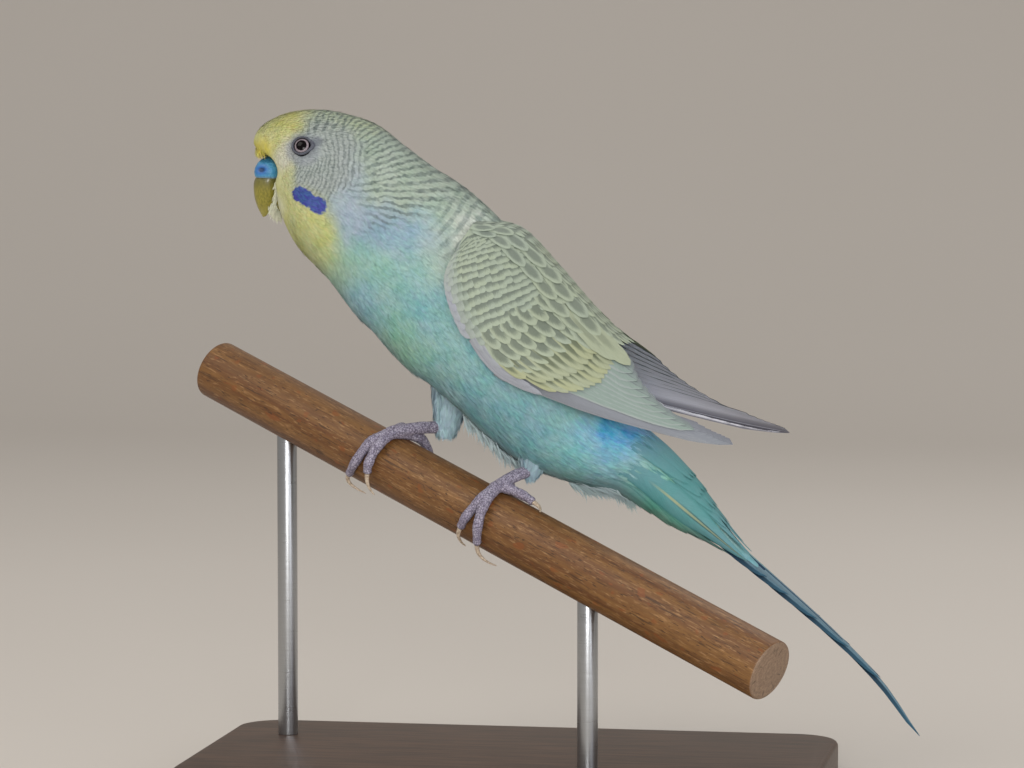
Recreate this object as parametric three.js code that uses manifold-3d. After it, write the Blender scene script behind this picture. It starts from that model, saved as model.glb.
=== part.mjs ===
// A life-size budgerigar on a short length of round wooden perch, held by a plain display stand.
// Millimetres, +Z up. The bird faces -X with its middle plane at y = 0. The origin is the middle
// of the base's underside.
import * as THREE from 'three';
import { mergeVertices } from 'three/addons/utils/BufferGeometryUtils.js';
import Module from 'manifold-3d';

const wasm = await Module();
wasm.setup();

// Driving sizes
const gap = 0.3;
const faceGap = 0.42;
const bodyRoundness = 2.15;
const aroundBody = 28;
const closeUp = 0.04;

// Perch: a dowel that runs down towards the bird's left and rear
const perchRadius = 6.5;
const perchStart = new THREE.Vector3(-20.3, 0, 67);
const perchWay = new THREE.Vector3(0.834, -0.4266, -0.3499).normalize();
const perchFrom = -62;
const perchTo = 97;
const perchEdge = 0.6;

// Stand: a flat base and two upright rods under the perch
const baseLength = 136;
const baseWidth = 76;
const baseHeight = 8;
const baseCorner = 10;
const baseEdge = 1.2;
const rodRadius = 2.2;
const rodPlaces = [-40, 48];

// Body outline in the middle plane, from the forehead to the rump. Each row is one section: the
// point on the back, the point on the belly side and half of the width.
const bodyRows = [
  [-57.0, 140.0, -56.7, 138.8, 0.9],
  [-56.5, 142.0, -54.8, 136.5, 3.6],
  [-54.9, 144.0, -52.3, 133.2, 6.4],
  [-52.2, 145.6, -51.0, 129.0, 8.7],
  [-48.9, 146.8, -50.3, 124.0, 10.6],
  [-44.0, 147.4, -47.2, 117.2, 12.5],
  [-37.7, 146.8, -43.1, 112.6, 13.2],
  [-30.0, 144.4, -40.0, 109.4, 13.6],
  [-23.4, 139.7, -36.7, 105.1, 14.2],
  [-17.5, 135.4, -33.8, 101.5, 15.0],
  [-10.2, 130.7, -30.5, 98.5, 15.9],
  [-3.0, 124.4, -26.8, 94.4, 16.7],
  [3.2, 117.6, -22.8, 90.5, 17.2],
  [8.0, 109.4, -18.0, 87.3, 17.3],
  [12.2, 101.8, -11.8, 82.2, 16.8],
  [17.0, 94.8, -4.8, 75.8, 15.8],
  [21.4, 87.8, 1.7, 71.0, 14.2],
  [25.7, 82.3, 8.7, 67.8, 12.4],
  [29.7, 79.0, 15.9, 66.0, 10.8],
  [33.9, 75.1, 22.4, 65.1, 9.2],
  [38.0, 70.5, 28.9, 61.7, 7.6],
  [41.5, 66.3, 34.8, 58.0, 6.4],
  [44.9, 61.5, 39.7, 55.5, 5.8],
];
const headEnd = 6.6;
const neckEnd = 9.4;
const torsoEnd = 18;
const partingCut = 0.03;
const noseRows = 4;

// Tail: the rump's taper ends at tailRoot, and its feathers follow the tail line to the tip. Each
// pair, from the long middle pair outwards, has the share of the line that it reaches and how far
// its tips stand from the middle plane.
const tailRoot = [[50.0, 55.0, 46.6, 50.4, 4.6], [54.6, 49.4, 53.0, 47.8, 3.2]];
const tailLine = [[36.0, 65.6], [44.0, 58.4], [54.4, 49.6], [69.5, 36.2], [80.1, 25.2], [87.6, 13.9]];
const tailPairs = [
  { reach: 1.0, spread: 0.5 },
  { reach: 0.8, spread: 1.7 },
  { reach: 0.67, spread: 2.6 },
  { reach: 0.55, spread: 3.5 },
  { reach: 0.44, spread: 4.4 },
];
const tailVaneWidth = 2.0;
const tailLayer = 0.45;
const tailSideShift = 0.4;
const tailTipThin = 0.6;
const tailTipNarrow = 0.35;
const vaneMiddle = 0.85;
const vaneEdge = 0.5;

// Eyes
const eyeSpot = { x: -43.6, z: 139.3 };
const eyeRadius = 2.5;
const eyeProud = 0.75;
const lidRadius = 2.05;
const lidThickness = 0.42;

// Cere and bill
const cereSize = new THREE.Vector3(2.9, 4.1, 2.6);
const cereMiddle = new THREE.Vector3(-53.2, 0, 134.6);
const nostrilSize = new THREE.Vector3(1.2, 0.45, 0.45);
const nostrilSpread = 1.5;
const nostrilRise = 0.5;
const billRows = [
  [-55.6, 134.2, -49.6, 134.4, 3.8],
  [-55.9, 131.2, -50.4, 131.4, 3.6],
  [-55.8, 128.9, -51.6, 129.0, 2.9],
  [-55.4, 126.6, -52.8, 126.9, 1.8],
  [-54.3, 124.0, -53.9, 123.8, 0.35],
];
const lowerBillRows = [
  [-52.5, 125.1, -50.6, 124.9, 0.7],
  [-52.8, 126.2, -50.0, 125.8, 1.4],
  [-52.5, 128.0, -49.2, 127.8, 1.9],
  [-51.6, 130.2, -48.6, 130.2, 2.0],
];

// Wings, as the bird's left one: rows across it from the shoulder to the tip. Each row holds the
// edge along the back, the edge along the flank (both x, distance from the middle plane, z) and
// how far the row bulges outwards between them.
const wingRows = [
  [[-6.5, 9.0, 122.5], [-8.6, 15.4, 118.6], 1.0],
  [[1.6, 6.5, 120.4], [-11.2, 16.8, 110.8], 4.2],
  [[9.3, 5.0, 113.0], [-8.0, 18.0, 100.6], 5.6],
  [[16.0, 4.6, 105.4], [-1.4, 18.2, 91.8], 5.6],
  [[22.6, 5.4, 97.4], [8.0, 17.6, 87.2], 4.6],
  [[30.6, 7.2, 89.6], [21.6, 16.4, 81.9], 2.8],
  [[41.6, 9.8, 81.7], [38.0, 14.0, 78.1], 1.0],
  [[48.3, 11.8, 77.9], [47.1, 12.6, 77.4], 0.1],
];
const wingCoreEnd = 0.62;
const coreRows = 12;
const coreColumns = 9;
const coreEdgeThin = 0.3;
const coreEndThin = 0.5;
const wingThickness = [3.4, 3.4, 3.2, 3.0, 2.6, 2.0, 1.4, 0.9];
const topTurn = 40;
const topInward = [0.65, 0.75];
const wingClear = 1.2;
const stretchFrom = 0.4;

// Tiers of coverts from the shoulder back: where each starts and ends along the wing, how many
// feathers it has across it and how far their tips stand up
const covertTiers = [
  { from: 0.03, to: 0.17, count: 4, proud: 0.5 },
  { from: 0.13, to: 0.29, count: 5, proud: 0.55 },
  { from: 0.24, to: 0.42, count: 6, proud: 0.6 },
  { from: 0.36, to: 0.58, count: 6, proud: 0.65 },
];
const covertSunk = 0.6;
const covertTilt = 0.22;
const covertHalf = 0.62;
const covertUneven = 0.014;

// Flight feathers from the outermost primary to the innermost tertial
const flightCount = 10;
const flightRoot = 0.46;
const rootStagger = 0.005;
const flightHalfWidth = 2.3;
const flightTilt = 0.28;
const flightSunk = 0.8;
const edgeOver = 0.03;
const edgeStep = 0.007;
const innermostReach = 0.71;
const rootLevels = [0.93, 0.1];
const tipLevels = [0.5, 0.2];
const wings = [
  { name: 'wing_left', side: -1, reach: 0, lift: 0 },
  { name: 'wing_right', side: 1, reach: 9.3, lift: 0.6 },
];

// Legs and feet. Toe places are a distance along the perch and an angle round it in degrees,
// measured from the top towards the bird's left.
const toeRoot = 1.4;
const toeEnd = 0.95;
const feet = [
  {
    name: 'left',
    hip: [8.0, -7.4, 80.5],
    hipSize: [7.6, 5.6],
    ankle: [5.2, -5.2, 69.0],
    ankleRadius: 1.9,
    fork: [21.2, 16],
    toes: [
      { name: 'toe_1', path: [[22.8, 2], [26.2, -6], [29.6, -4]], claw: [33.4, 14, 7.6] },
      { name: 'toe_2', path: [[21.0, 50], [19.8, 84], [18.8, 108]], claw: [19.6, 146, 7.9] },
      { name: 'toe_3', path: [[22.4, 56], [23.4, 90], [23.6, 124]], claw: [28.0, 156, 8.2] },
      { name: 'toe_4', path: [[20.6, -22], [20.0, -60], [19.8, -94]], claw: [21.8, -134, 8.2] },
    ],
  },
  {
    name: 'right',
    hip: [-12.8, 6.4, 93.0],
    hipSize: [7.0, 5.4],
    ankle: [-15.7, 6.6, 76.9],
    ankleRadius: 2.7,
    fork: [-8.6, 20],
    toes: [
      { name: 'toe_1', path: [[-6.0, -28], [-4.6, -62], [-4.0, -92]], claw: [-5.6, -132, 8.2] },
      { name: 'toe_2', path: [[-8.6, 54], [-8.6, 84], [-8.4, 102]], claw: [-6.2, 136, 8.2] },
      { name: 'toe_3', path: [[-10.6, 54], [-12.0, 92], [-14.0, 126]], claw: [-10.0, 154, 8.2] },
      { name: 'toe_4', path: [[-10.2, -20], [-11.4, -56], [-12.2, -88]], claw: [-10.8, -128, 8.2] },
    ],
  },
];
const tarsusRadius = 1.35;
const ankleRise = 1.2;
const padDepth = 0.08;
const clawStraight = 0.55;
const clawRadius = 0.55;
const clawTip = 0.16;

// Finishes
const finishes = {
  head: [0xc3c48e, 0.85, 0],
  neck: [0xa5b7a4, 0.85, 0],
  torso: [0x7fb9b7, 0.85, 0],
  tail: [0x5f97a8, 0.75, 0],
  wing: [0xb4b893, 0.8, 0],
  leg: [0x9cc4cc, 0.9, 0],
  eye: [0x17110f, 0.08, 0],
  cere: [0x3c82be, 0.45, 0],
  bill: [0x8d8a3a, 0.4, 0],
  foot: [0x9a93a6, 0.65, 0],
  claw: [0xbda790, 0.4, 0],
  wood: [0xa0683c, 0.6, 0],
  base: [0x4a382d, 0.5, 0],
  steel: [0xb9bcbe, 0.3, 1],
};
const materials = {};
for (const [name, [color, roughness, metalness]] of Object.entries(finishes)) {
  materials[name] = new THREE.MeshStandardMaterial({ color, roughness, metalness });
}

const vector = (x, y, z) => new THREE.Vector3(x, y, z);
const radians = THREE.MathUtils.degToRad;

// A closed mesh as a solid, turned right side out
function solid(geometry) {
  const shape = geometry.clone();
  shape.deleteAttribute('normal');
  shape.deleteAttribute('uv');
  const merged = mergeVertices(shape, 1e-4);
  const places = merged.getAttribute('position');
  const corners = Array.from(merged.getIndex().array);
  const triangles = [];
  let volume = 0;
  for (let i = 0; i < corners.length; i += 3) {
    const [a, b, c] = corners.slice(i, i + 3);
    if (a === b || b === c || c === a) continue;
    triangles.push(a, b, c);
    const [p, q, r] = [a, b, c].map((n) => new THREE.Vector3().fromBufferAttribute(places, n));
    volume += p.dot(q.cross(r));
  }
  if (volume < 0) triangles.reverse();
  const mesh = new wasm.Mesh({
    numProp: 3,
    vertProperties: Float32Array.from(places.array),
    triVerts: Uint32Array.from(triangles),
  });
  return new wasm.Manifold(mesh);
}

// Joined or cut solids keep their largest closed surface, with edges too short to see closed up
function largest(shape) {
  let kept = shape;
  for (const shortest of [closeUp, closeUp / 2]) {
    const pieces = kept.simplify(shortest).decompose();
    pieces.sort((a, b) => b.volume() - a.volume());
    [kept] = pieces;
  }
  return kept;
}

function geometryOf(shape) {
  const { vertProperties, triVerts } = largest(shape).getMesh();
  const geometry = new THREE.BufferGeometry();
  geometry.setAttribute('position', new THREE.BufferAttribute(Float32Array.from(vertProperties), 3));
  geometry.setIndex(new THREE.BufferAttribute(Uint32Array.from(triVerts), 1));
  geometry.computeVertexNormals();
  return geometry;
}

const bird = new THREE.Group();

function addNode(name, shape, finish) {
  const mesh = new THREE.Mesh(geometryOf(shape), materials[finish]);
  mesh.name = name;
  bird.add(mesh);
}

// A loft with flat ends: section(t, turn, reach) gives the point at the share t of the length,
// at an angle round the section and at a share of its reach from the middle
function loft(section, around, along) {
  const shape = new THREE.CylinderGeometry(1, 1, 1, around, along);
  const places = shape.getAttribute('position');
  for (let i = 0; i < places.count; i += 1) {
    const reach = Math.hypot(places.getX(i), places.getZ(i));
    const turn = Math.atan2(places.getX(i), places.getZ(i));
    const spot = section(0.5 - places.getY(i), turn, reach);
    places.setXYZ(i, spot.x, spot.y, spot.z);
  }
  return solid(shape);
}

// A number read along a row of numbers, smoothly
function along(values, t) {
  const line = new THREE.CatmullRomCurve3(values.map((value) => vector(value, 0, 0)), false, 'catmullrom', 0.5);
  return line.getPoint(THREE.MathUtils.clamp(t, 0, 1)).x;
}

// A skin of revolution-like sections between a back line and a belly line in the middle plane
function sleeve(rows, roundness) {
  const backLine = new THREE.CatmullRomCurve3(rows.map(([x, z]) => vector(x, 0, z)), false, 'catmullrom', 0.5);
  const bellyLine = new THREE.CatmullRomCurve3(rows.map((row) => vector(row[2], 0, row[3])), false, 'catmullrom', 0.5);
  const widths = rows.map((row) => row[4]);
  const last = rows.length - 1;
  return (row, turn, reach = 1, extra = 0) => {
    const t = THREE.MathUtils.clamp(row / last, 0, 1);
    const back = backLine.getPoint(t);
    const belly = bellyLine.getPoint(t);
    const middle = back.clone().add(belly).multiplyScalar(0.5);
    const up = back.clone().sub(belly).multiplyScalar(0.5);
    const half = up.length();
    up.normalize();
    const rise = Math.cos(turn);
    const out = Math.sin(turn);
    const size = reach / (Math.abs(rise) ** roundness + Math.abs(out) ** roundness) ** (1 / roundness);
    const spot = middle.addScaledVector(up, (half + extra) * rise * size);
    spot.y += (along(widths, t) + extra) * out * size;
    return spot;
  };
}

const bodySkin = sleeve(bodyRows, bodyRoundness);

function bodyPiece(from, to, steps, extra = 0) {
  return loft((t, turn, reach) => {
    const row = from + (to - from) * t;
    const spot = bodySkin(row, turn, reach, extra);
    spot.x -= extra * Math.max(0, 1 - row / noseRows);
    return spot;
  }, aroundBody, steps);
}

// The distance of the body's side from the middle plane, seen at a point of the side view
function flank(x, z) {
  const last = bodyRows.length - 1;
  let low = 0;
  let high = last;
  const ahead = (row) => {
    const back = bodySkin(row, 0);
    const belly = bodySkin(row, Math.PI);
    return (x - belly.x) * (back.z - belly.z) - (z - belly.z) * (back.x - belly.x) > 0;
  };
  for (let i = 0; i < 24; i += 1) {
    const row = (low + high) / 2;
    if (ahead(row)) low = row;
    else high = row;
  }
  const back = bodySkin(low, 0);
  const belly = bodySkin(low, Math.PI);
  const height = 2 * ((x - belly.x) * (back.x - belly.x) + (z - belly.z) * (back.z - belly.z))
    / back.distanceToSquared(belly) - 1;
  if (Math.abs(height) >= 1) return 0;
  return along(bodyRows.map((row) => row[4]), low / last) * (1 - Math.abs(height) ** bodyRoundness) ** (1 / bodyRoundness);
}

// A round-bellied tube along a path, with the radius as a function of the share of its length
function tube(path, radius, around = 8, steps = 12) {
  const line = new THREE.CatmullRomCurve3(path, false, 'catmullrom', 0.5);
  const frames = line.computeFrenetFrames(steps, false);
  return loft((t, turn, reach) => {
    const i = Math.round(t * steps);
    const spot = line.getPointAt(THREE.MathUtils.clamp(t, 0, 1));
    spot.addScaledVector(frames.normals[i], Math.cos(turn) * radius(t) * reach);
    spot.addScaledVector(frames.binormals[i], Math.sin(turn) * radius(t) * reach);
    return spot;
  }, around, steps);
}

function ball(middle, radii, segments = 14) {
  const shape = new THREE.SphereGeometry(1, segments, segments / 2);
  shape.rotateX(Math.PI / 2);
  shape.scale(radii.x, radii.y, radii.z);
  shape.translate(middle.x, middle.y, middle.z);
  return solid(shape);
}

const round = (radius) => vector(radius, radius, radius);

// Perch and stand
function perchPoint(distance) {
  return perchStart.clone().addScaledVector(perchWay, distance);
}

const perchSide = vector(0, 0, 1).cross(perchWay).negate().normalize();
const perchTop = perchWay.clone().cross(perchSide).negate().normalize();

function roundPerch(distance, degrees, radius) {
  const spot = perchPoint(distance);
  spot.addScaledVector(perchTop, Math.cos(radians(degrees)) * radius);
  return spot.addScaledVector(perchSide, Math.sin(radians(degrees)) * radius);
}

function perchSolid(extra = 0) {
  const radius = perchRadius + extra;
  const profile = [
    [0, perchFrom - extra],
    [radius - perchEdge, perchFrom - extra],
    [radius, perchFrom + perchEdge],
    [radius, perchTo - perchEdge],
    [radius - perchEdge, perchTo + extra],
    [0, perchTo + extra],
  ].map(([x, y]) => new THREE.Vector2(x, y));
  const shape = new THREE.LatheGeometry(profile, 32);
  shape.applyQuaternion(new THREE.Quaternion().setFromUnitVectors(vector(0, 1, 0), perchWay));
  shape.translate(perchStart.x, perchStart.y, perchStart.z);
  return solid(shape);
}

function roundedPlate(length, width, corner) {
  const outline = new THREE.Shape();
  const [x, y] = [length / 2, width / 2];
  outline.absarc(x - corner, y - corner, corner, 0, Math.PI / 2);
  outline.absarc(corner - x, y - corner, corner, Math.PI / 2, Math.PI);
  outline.absarc(corner - x, corner - y, corner, Math.PI, Math.PI * 1.5);
  outline.absarc(x - corner, corner - y, corner, Math.PI * 1.5, Math.PI * 2);
  return outline;
}

function makeStand() {
  const base = new THREE.ExtrudeGeometry(roundedPlate(baseLength - 2 * baseEdge, baseWidth - 2 * baseEdge, baseCorner), {
    depth: baseHeight - 2 * baseEdge,
    bevelThickness: baseEdge,
    bevelSize: baseEdge,
    bevelSegments: 1,
    curveSegments: 4,
  });
  base.translate(0, 0, baseEdge);
  addNode('stand_base', solid(base), 'base');
  rodPlaces.forEach((distance, index) => {
    const foot = perchPoint(distance);
    const rod = new THREE.CylinderGeometry(rodRadius, rodRadius, foot.z - baseHeight - gap, 24);
    rod.rotateX(Math.PI / 2);
    rod.translate(foot.x, foot.y, (foot.z + baseHeight + gap) / 2);
    addNode(`stand_rod_${index + 1}`, solid(rod).subtract(perchSolid(gap)), 'steel');
  });
  addNode('perch', perchSolid(), 'wood');
}

// Where the head's side is at the eye, and which way it faces there
function eyePlace(side) {
  const { x, z } = eyeSpot;
  const step = 0.5;
  const slopeX = (flank(x + step, z) - flank(x - step, z)) / (2 * step);
  const slopeZ = (flank(x, z + step) - flank(x, z - step)) / (2 * step);
  const outward = vector(-slopeX, 1, -slopeZ).normalize();
  const surface = vector(x, flank(x, z), z);
  surface.y *= side;
  outward.y *= side;
  return { surface, outward };
}

function headSolid(extra = 0) {
  return bodyPiece(0, headEnd - partingCut, 15, extra);
}

function makeHead() {
  let head = headSolid();
  for (const side of [-1, 1]) {
    const { surface, outward } = eyePlace(side);
    const lid = new THREE.TorusGeometry(lidRadius, lidThickness, 6, 16);
    lid.applyQuaternion(new THREE.Quaternion().setFromUnitVectors(vector(0, 0, 1), outward));
    lid.translate(...surface.toArray());
    const middle = surface.clone().addScaledVector(outward, eyeProud - eyeRadius);
    head = head.add(solid(lid)).subtract(ball(middle, round(eyeRadius + gap)));
    addNode(side < 0 ? 'eye_left' : 'eye_right', ball(middle, round(eyeRadius)), 'eye');
  }
  addNode('head', head, 'head');
}

function cereSolid(extra = 0) {
  return ball(cereMiddle, cereSize.clone().addScalar(extra));
}

function makeBill() {
  const face = headSolid(faceGap);
  let cere = cereSolid().subtract(face);
  for (const side of [-1, 1]) {
    const nostril = cereMiddle.clone().add(vector(-cereSize.x, side * nostrilSpread, nostrilRise));
    cere = cere.subtract(ball(nostril, nostrilSize, 8));
  }
  addNode('cere', cere, 'cere');
  const last = billRows.length - 1;
  const billSkin = sleeve(billRows, 2);
  const upper = (extra) => loft((t, turn, reach) => billSkin(t * last, turn, reach, extra), 14, 8);
  addNode('bill_upper', upper(0).subtract(face).subtract(cereSolid(gap)), 'bill');
  const lowerSkin = sleeve(lowerBillRows, 2);
  const lower = loft((t, turn, reach) => lowerSkin(t * (lowerBillRows.length - 1), turn, reach), 12, 5);
  addNode('bill_lower', lower.subtract(face).subtract(upper(gap)), 'bill');
}

// A thin closed plate, split alike on both faces: spot(across, share, face) with across from -1
// to 1, and face 1 on the outer side and 0 on the inner one
function plate(spot, shares, wide = 2) {
  const long = shares.length - 1;
  const sheet = new THREE.PlaneGeometry(2, long, wide, long);
  const flat = sheet.getAttribute('position');
  const places = [];
  for (const face of [1, 0]) {
    for (let i = 0; i < flat.count; i += 1) {
      places.push(...spot(flat.getX(i), shares[Math.floor(i / (wide + 1))], face).toArray());
    }
  }
  const corners = sheet.getIndex().array;
  const triangles = [];
  for (let i = 0; i < corners.length; i += 3) {
    const [a, b, c] = corners.slice(i, i + 3);
    triangles.push(a, b, c, c + flat.count, b + flat.count, a + flat.count);
  }
  const rim = [];
  for (let i = 0; i < wide; i += 1) rim.push(i);
  for (let i = 0; i < long; i += 1) rim.push(wide + i * (wide + 1));
  for (let i = wide; i > 0; i -= 1) rim.push(long * (wide + 1) + i);
  for (let i = long; i > 0; i -= 1) rim.push(i * (wide + 1));
  rim.forEach((a, n) => {
    const b = rim[(n + 1) % rim.length];
    triangles.push(a, b, b + flat.count, a, b + flat.count, a + flat.count);
  });
  const geometry = new THREE.BufferGeometry();
  geometry.setAttribute('position', new THREE.BufferAttribute(Float32Array.from(places), 3));
  geometry.setIndex(triangles);
  return solid(geometry);
}

// Where a vane has its rows, and its width at a share of its length as a share of its widest
const shortVane = [0, 0.55, 0.88, 1];
const flightVane = [0, 0.4, 0.75, 0.93, 1];
const longVane = [0, 0.25, 0.5, 0.7, 0.85, 0.95, 1];
const rootWidth = 0.6;
const tipStart = 0.7;
const tipWidth = 0.35;

function vaneWidth(share) {
  const root = THREE.MathUtils.lerp(rootWidth, 1, Math.min(1, share / tipStart));
  const end = Math.max(0, (share - tipStart) / (1 - tipStart));
  return root * Math.sqrt(1 - (1 - tipWidth ** 2) * end ** 2);
}

// Tail: the rump's taper, with pairs of long feathers that lie one under the other
function rumpSolid(extra = 0) {
  const rows = [...bodyRows.slice(torsoEnd), ...tailRoot];
  const skin = sleeve(rows, bodyRoundness);
  return loft((t, turn, reach) => skin(partingCut + t * (rows.length - 1 - partingCut), turn, reach, extra), 24, 12);
}

function tailVane(pair, side, layer) {
  const line = new THREE.CatmullRomCurve3(tailLine.map(([x, z]) => vector(x, 0, z)), false, 'catmullrom', 0.5);
  return plate((across, share, face) => {
    const spot = line.getPointAt(share * pair.reach);
    const way = line.getTangentAt(share * pair.reach);
    const up = vector(-way.z, 0, way.x);
    const half = (across === 0 ? vaneMiddle : vaneEdge) / 2;
    const thin = THREE.MathUtils.lerp(1, tailTipThin, share);
    spot.addScaledVector(up, (face - 0.5) * 2 * half * thin - layer * tailLayer * (1 - 0.4 * share));
    spot.y += side * pair.spread * share;
    spot.y += across * tailVaneWidth * vaneWidth(share) * (1 - tailTipNarrow * share);
    return spot;
  }, longVane);
}

function makeTail() {
  let tail = rumpSolid();
  tailPairs.forEach((pair, layer) => {
    for (const side of [-1, 1]) tail = tail.add(tailVane(pair, side, layer + (side > 0 ? tailSideShift : 0)));
  });
  addNode('tail', tail.subtract(bodyPiece(neckEnd, torsoEnd - partingCut, 20, gap)), 'tail');
}

// Wings
function wingPoint(wing, u, v, depth) {
  const upper = new THREE.CatmullRomCurve3(wingRows.map((row) => vector(...row[0])), false, 'catmullrom', 0.5).getPoint(u);
  const lower = new THREE.CatmullRomCurve3(wingRows.map((row) => vector(...row[1])), false, 'catmullrom', 0.5).getPoint(u);
  const bulge = along(wingRows.map((row) => row[2]), u);
  const spot = upper.lerp(lower, v);
  spot.y += bulge * 4 * v * (1 - v);
  spot.y = Math.max(spot.y, flank(spot.x, spot.z) + wingClear);
  const stretch = THREE.MathUtils.smoothstep(u, stretchFrom, 1);
  spot.x += wing.reach * stretch;
  spot.z += wing.lift * stretch;
  const turn = radians(topTurn) * Math.max(0, 1 - 2 * v);
  spot.x -= depth * topInward[0] * Math.sin(turn);
  spot.z -= depth * topInward[1] * Math.sin(turn);
  spot.y = wing.side * (spot.y - depth * Math.cos(turn));
  return spot;
}

function wingSpan(u) {
  return wingPoint(wings[0], u, 0, 0).distanceTo(wingPoint(wings[0], u, 1, 0));
}

// A covert: sunk at its root, proud at its tip and tilted so that it laps over its neighbour
function covert(wing, tier, index) {
  const half = covertHalf / tier.count;
  const middle = (index + 0.5) / tier.count;
  const shift = covertUneven * Math.sin(5.1 * index + 9 * tier.from);
  return plate((across, share, face) => {
    const u = THREE.MathUtils.lerp(tier.from, tier.to, share) + shift;
    const v = THREE.MathUtils.clamp(middle + across * half * vaneWidth(share), 0.01, 0.99);
    const rise = THREE.MathUtils.lerp(-covertSunk, tier.proud, share) + covertTilt * across;
    return wingPoint(wing, u, v, (face ? 0 : 1) - rise);
  }, shortVane);
}

// A flight feather, from its root at the rear of the wing's core to its tip near the back edge
function flight(wing, index) {
  const inner = index / (flightCount - 1);
  const tip = THREE.MathUtils.lerp(1, innermostReach, inner ** 1.15);
  const rootLevel = THREE.MathUtils.lerp(...rootLevels, inner);
  const tipLevel = THREE.MathUtils.lerp(...tipLevels, Math.min(1, 3 * inner));
  return plate((across, share, face) => {
    const u = THREE.MathUtils.lerp(flightRoot - index * rootStagger, tip, share);
    const half = flightHalfWidth * vaneWidth(share) / wingSpan(u);
    const v = THREE.MathUtils.lerp(rootLevel, tipLevel, share ** 1.4) + across * half;
    const thick = across === 0 ? vaneMiddle : vaneEdge;
    const rise = -flightSunk * Math.max(0, 1 - 3 * share) + flightTilt * across * (1 - 0.5 * share);
    return wingPoint(wing, u, THREE.MathUtils.clamp(v, -edgeOver, 1 + edgeOver - index * edgeStep), (face ? 0 : thick) - rise);
  }, flightVane);
}

// The wing's body, thin at its edges and split alike on both faces
function wingCore(wing) {
  const shares = Array.from({ length: coreRows + 1 }, (_, row) => row / coreRows);
  return plate((across, share, face) => {
    const level = Math.sin(across * Math.PI / 2);
    const u = share * wingCoreEnd;
    const full = along(wingThickness, u) * (share === 1 ? coreEndThin : 1);
    const local = full * THREE.MathUtils.lerp(coreEdgeThin, 1, Math.sqrt(1 - level ** 2));
    return wingPoint(wing, u, 0.5 + 0.5 * level, (full - local) / 2 + (face ? 0 : local));
  }, shares, coreColumns);
}

function makeWing(wing) {
  let shape = wingCore(wing);
  for (let i = 0; i < flightCount; i += 1) shape = shape.add(flight(wing, i));
  for (const tier of covertTiers) {
    for (let i = 0; i < tier.count; i += 1) shape = shape.add(covert(wing, tier, i));
  }
  const rest = bodyPiece(headEnd, bodyRows.length - 1, 24, gap);
  addNode(wing.name, shape.subtract(rest).subtract(rumpSolid(gap)), 'wing');
}

// Legs: a feathered thigh, a bare shank with four toes, and a claw on each toe
function thighSolid(foot, extra = 0) {
  const hip = vector(...foot.hip);
  const ankle = vector(...foot.ankle);
  const [long, short] = foot.hipSize;
  return loft((t, turn, reach) => {
    const spot = hip.clone().lerp(ankle, t);
    spot.x += (THREE.MathUtils.lerp(long, foot.ankleRadius, t) + extra) * Math.cos(turn) * reach;
    spot.y += (THREE.MathUtils.lerp(short, foot.ankleRadius, t) + extra) * Math.sin(turn) * reach;
    if (t === 1) spot.z -= extra;
    return spot;
  }, 16, 6);
}

function toeLine(foot, toe) {
  const spots = [foot.fork, ...toe.path];
  return spots.map(([distance, degrees], index) => {
    const thick = THREE.MathUtils.lerp(toeRoot, toeEnd, index / (spots.length - 1));
    return roundPerch(distance, degrees, perchRadius + gap + thick);
  });
}

function makeLeg(foot) {
  const torso = bodyPiece(neckEnd, torsoEnd, 24, gap);
  addNode(`leg_${foot.name}`, thighSolid(foot).subtract(torso), 'leg');
  const fork = roundPerch(foot.fork[0], foot.fork[1], perchRadius + gap + toeRoot);
  const ankle = vector(...foot.ankle);
  const heel = ankle.clone().add(vector(0, 0, ankleRise));
  let shape = tube([heel, ankle.lerp(fork, 0.5), fork], () => tarsusRadius, 7, 3);
  for (const toe of foot.toes) {
    const line = toeLine(foot, toe);
    const pads = (t) => THREE.MathUtils.lerp(toeRoot, toeEnd, t) * (0.98 + padDepth * Math.cos(t * Math.PI * 6));
    shape = shape.add(tube(line, pads, 7, 8));
    const end = line[line.length - 1];
    const away = new THREE.CatmullRomCurve3(line, false, 'catmullrom', 0.5).getTangent(1);
    const root = end.clone().addScaledVector(away, gap);
    const tip = roundPerch(...toe.claw);
    const bend = root.clone().addScaledVector(away, clawStraight * root.distanceTo(tip));
    const claw = new THREE.QuadraticBezierCurve3(root, bend, tip).getPoints(4);
    const taper = (t) => THREE.MathUtils.lerp(clawRadius, clawTip, t);
    addNode(`claw_${foot.name}_${toe.name}`, tube(claw, taper, 6, 6), 'claw');
  }
  const cleared = shape.subtract(thighSolid(foot, gap)).subtract(perchSolid(gap));
  addNode(`foot_${foot.name}`, cleared, 'foot');
}

makeStand();
makeHead();
makeBill();
addNode('neck', bodyPiece(headEnd + partingCut, neckEnd - partingCut, 7), 'neck');
addNode('torso', bodyPiece(neckEnd + partingCut, torsoEnd - partingCut, 18), 'torso');
makeTail();
wings.forEach(makeWing);
feet.forEach(makeLeg);

export default bird;
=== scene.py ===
# %% [markdown]
# # A budgerigar on its perch
# A life-size model of a small parrot, held by a plain stand. The solids come in first as a fixed frame:
# every piece made here is laid over them, in metres. The box of the solids is kept.

# %% Load the frame
import math
import bmesh
import bpy
import numpy as np
from mathutils import Matrix, Vector


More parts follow.
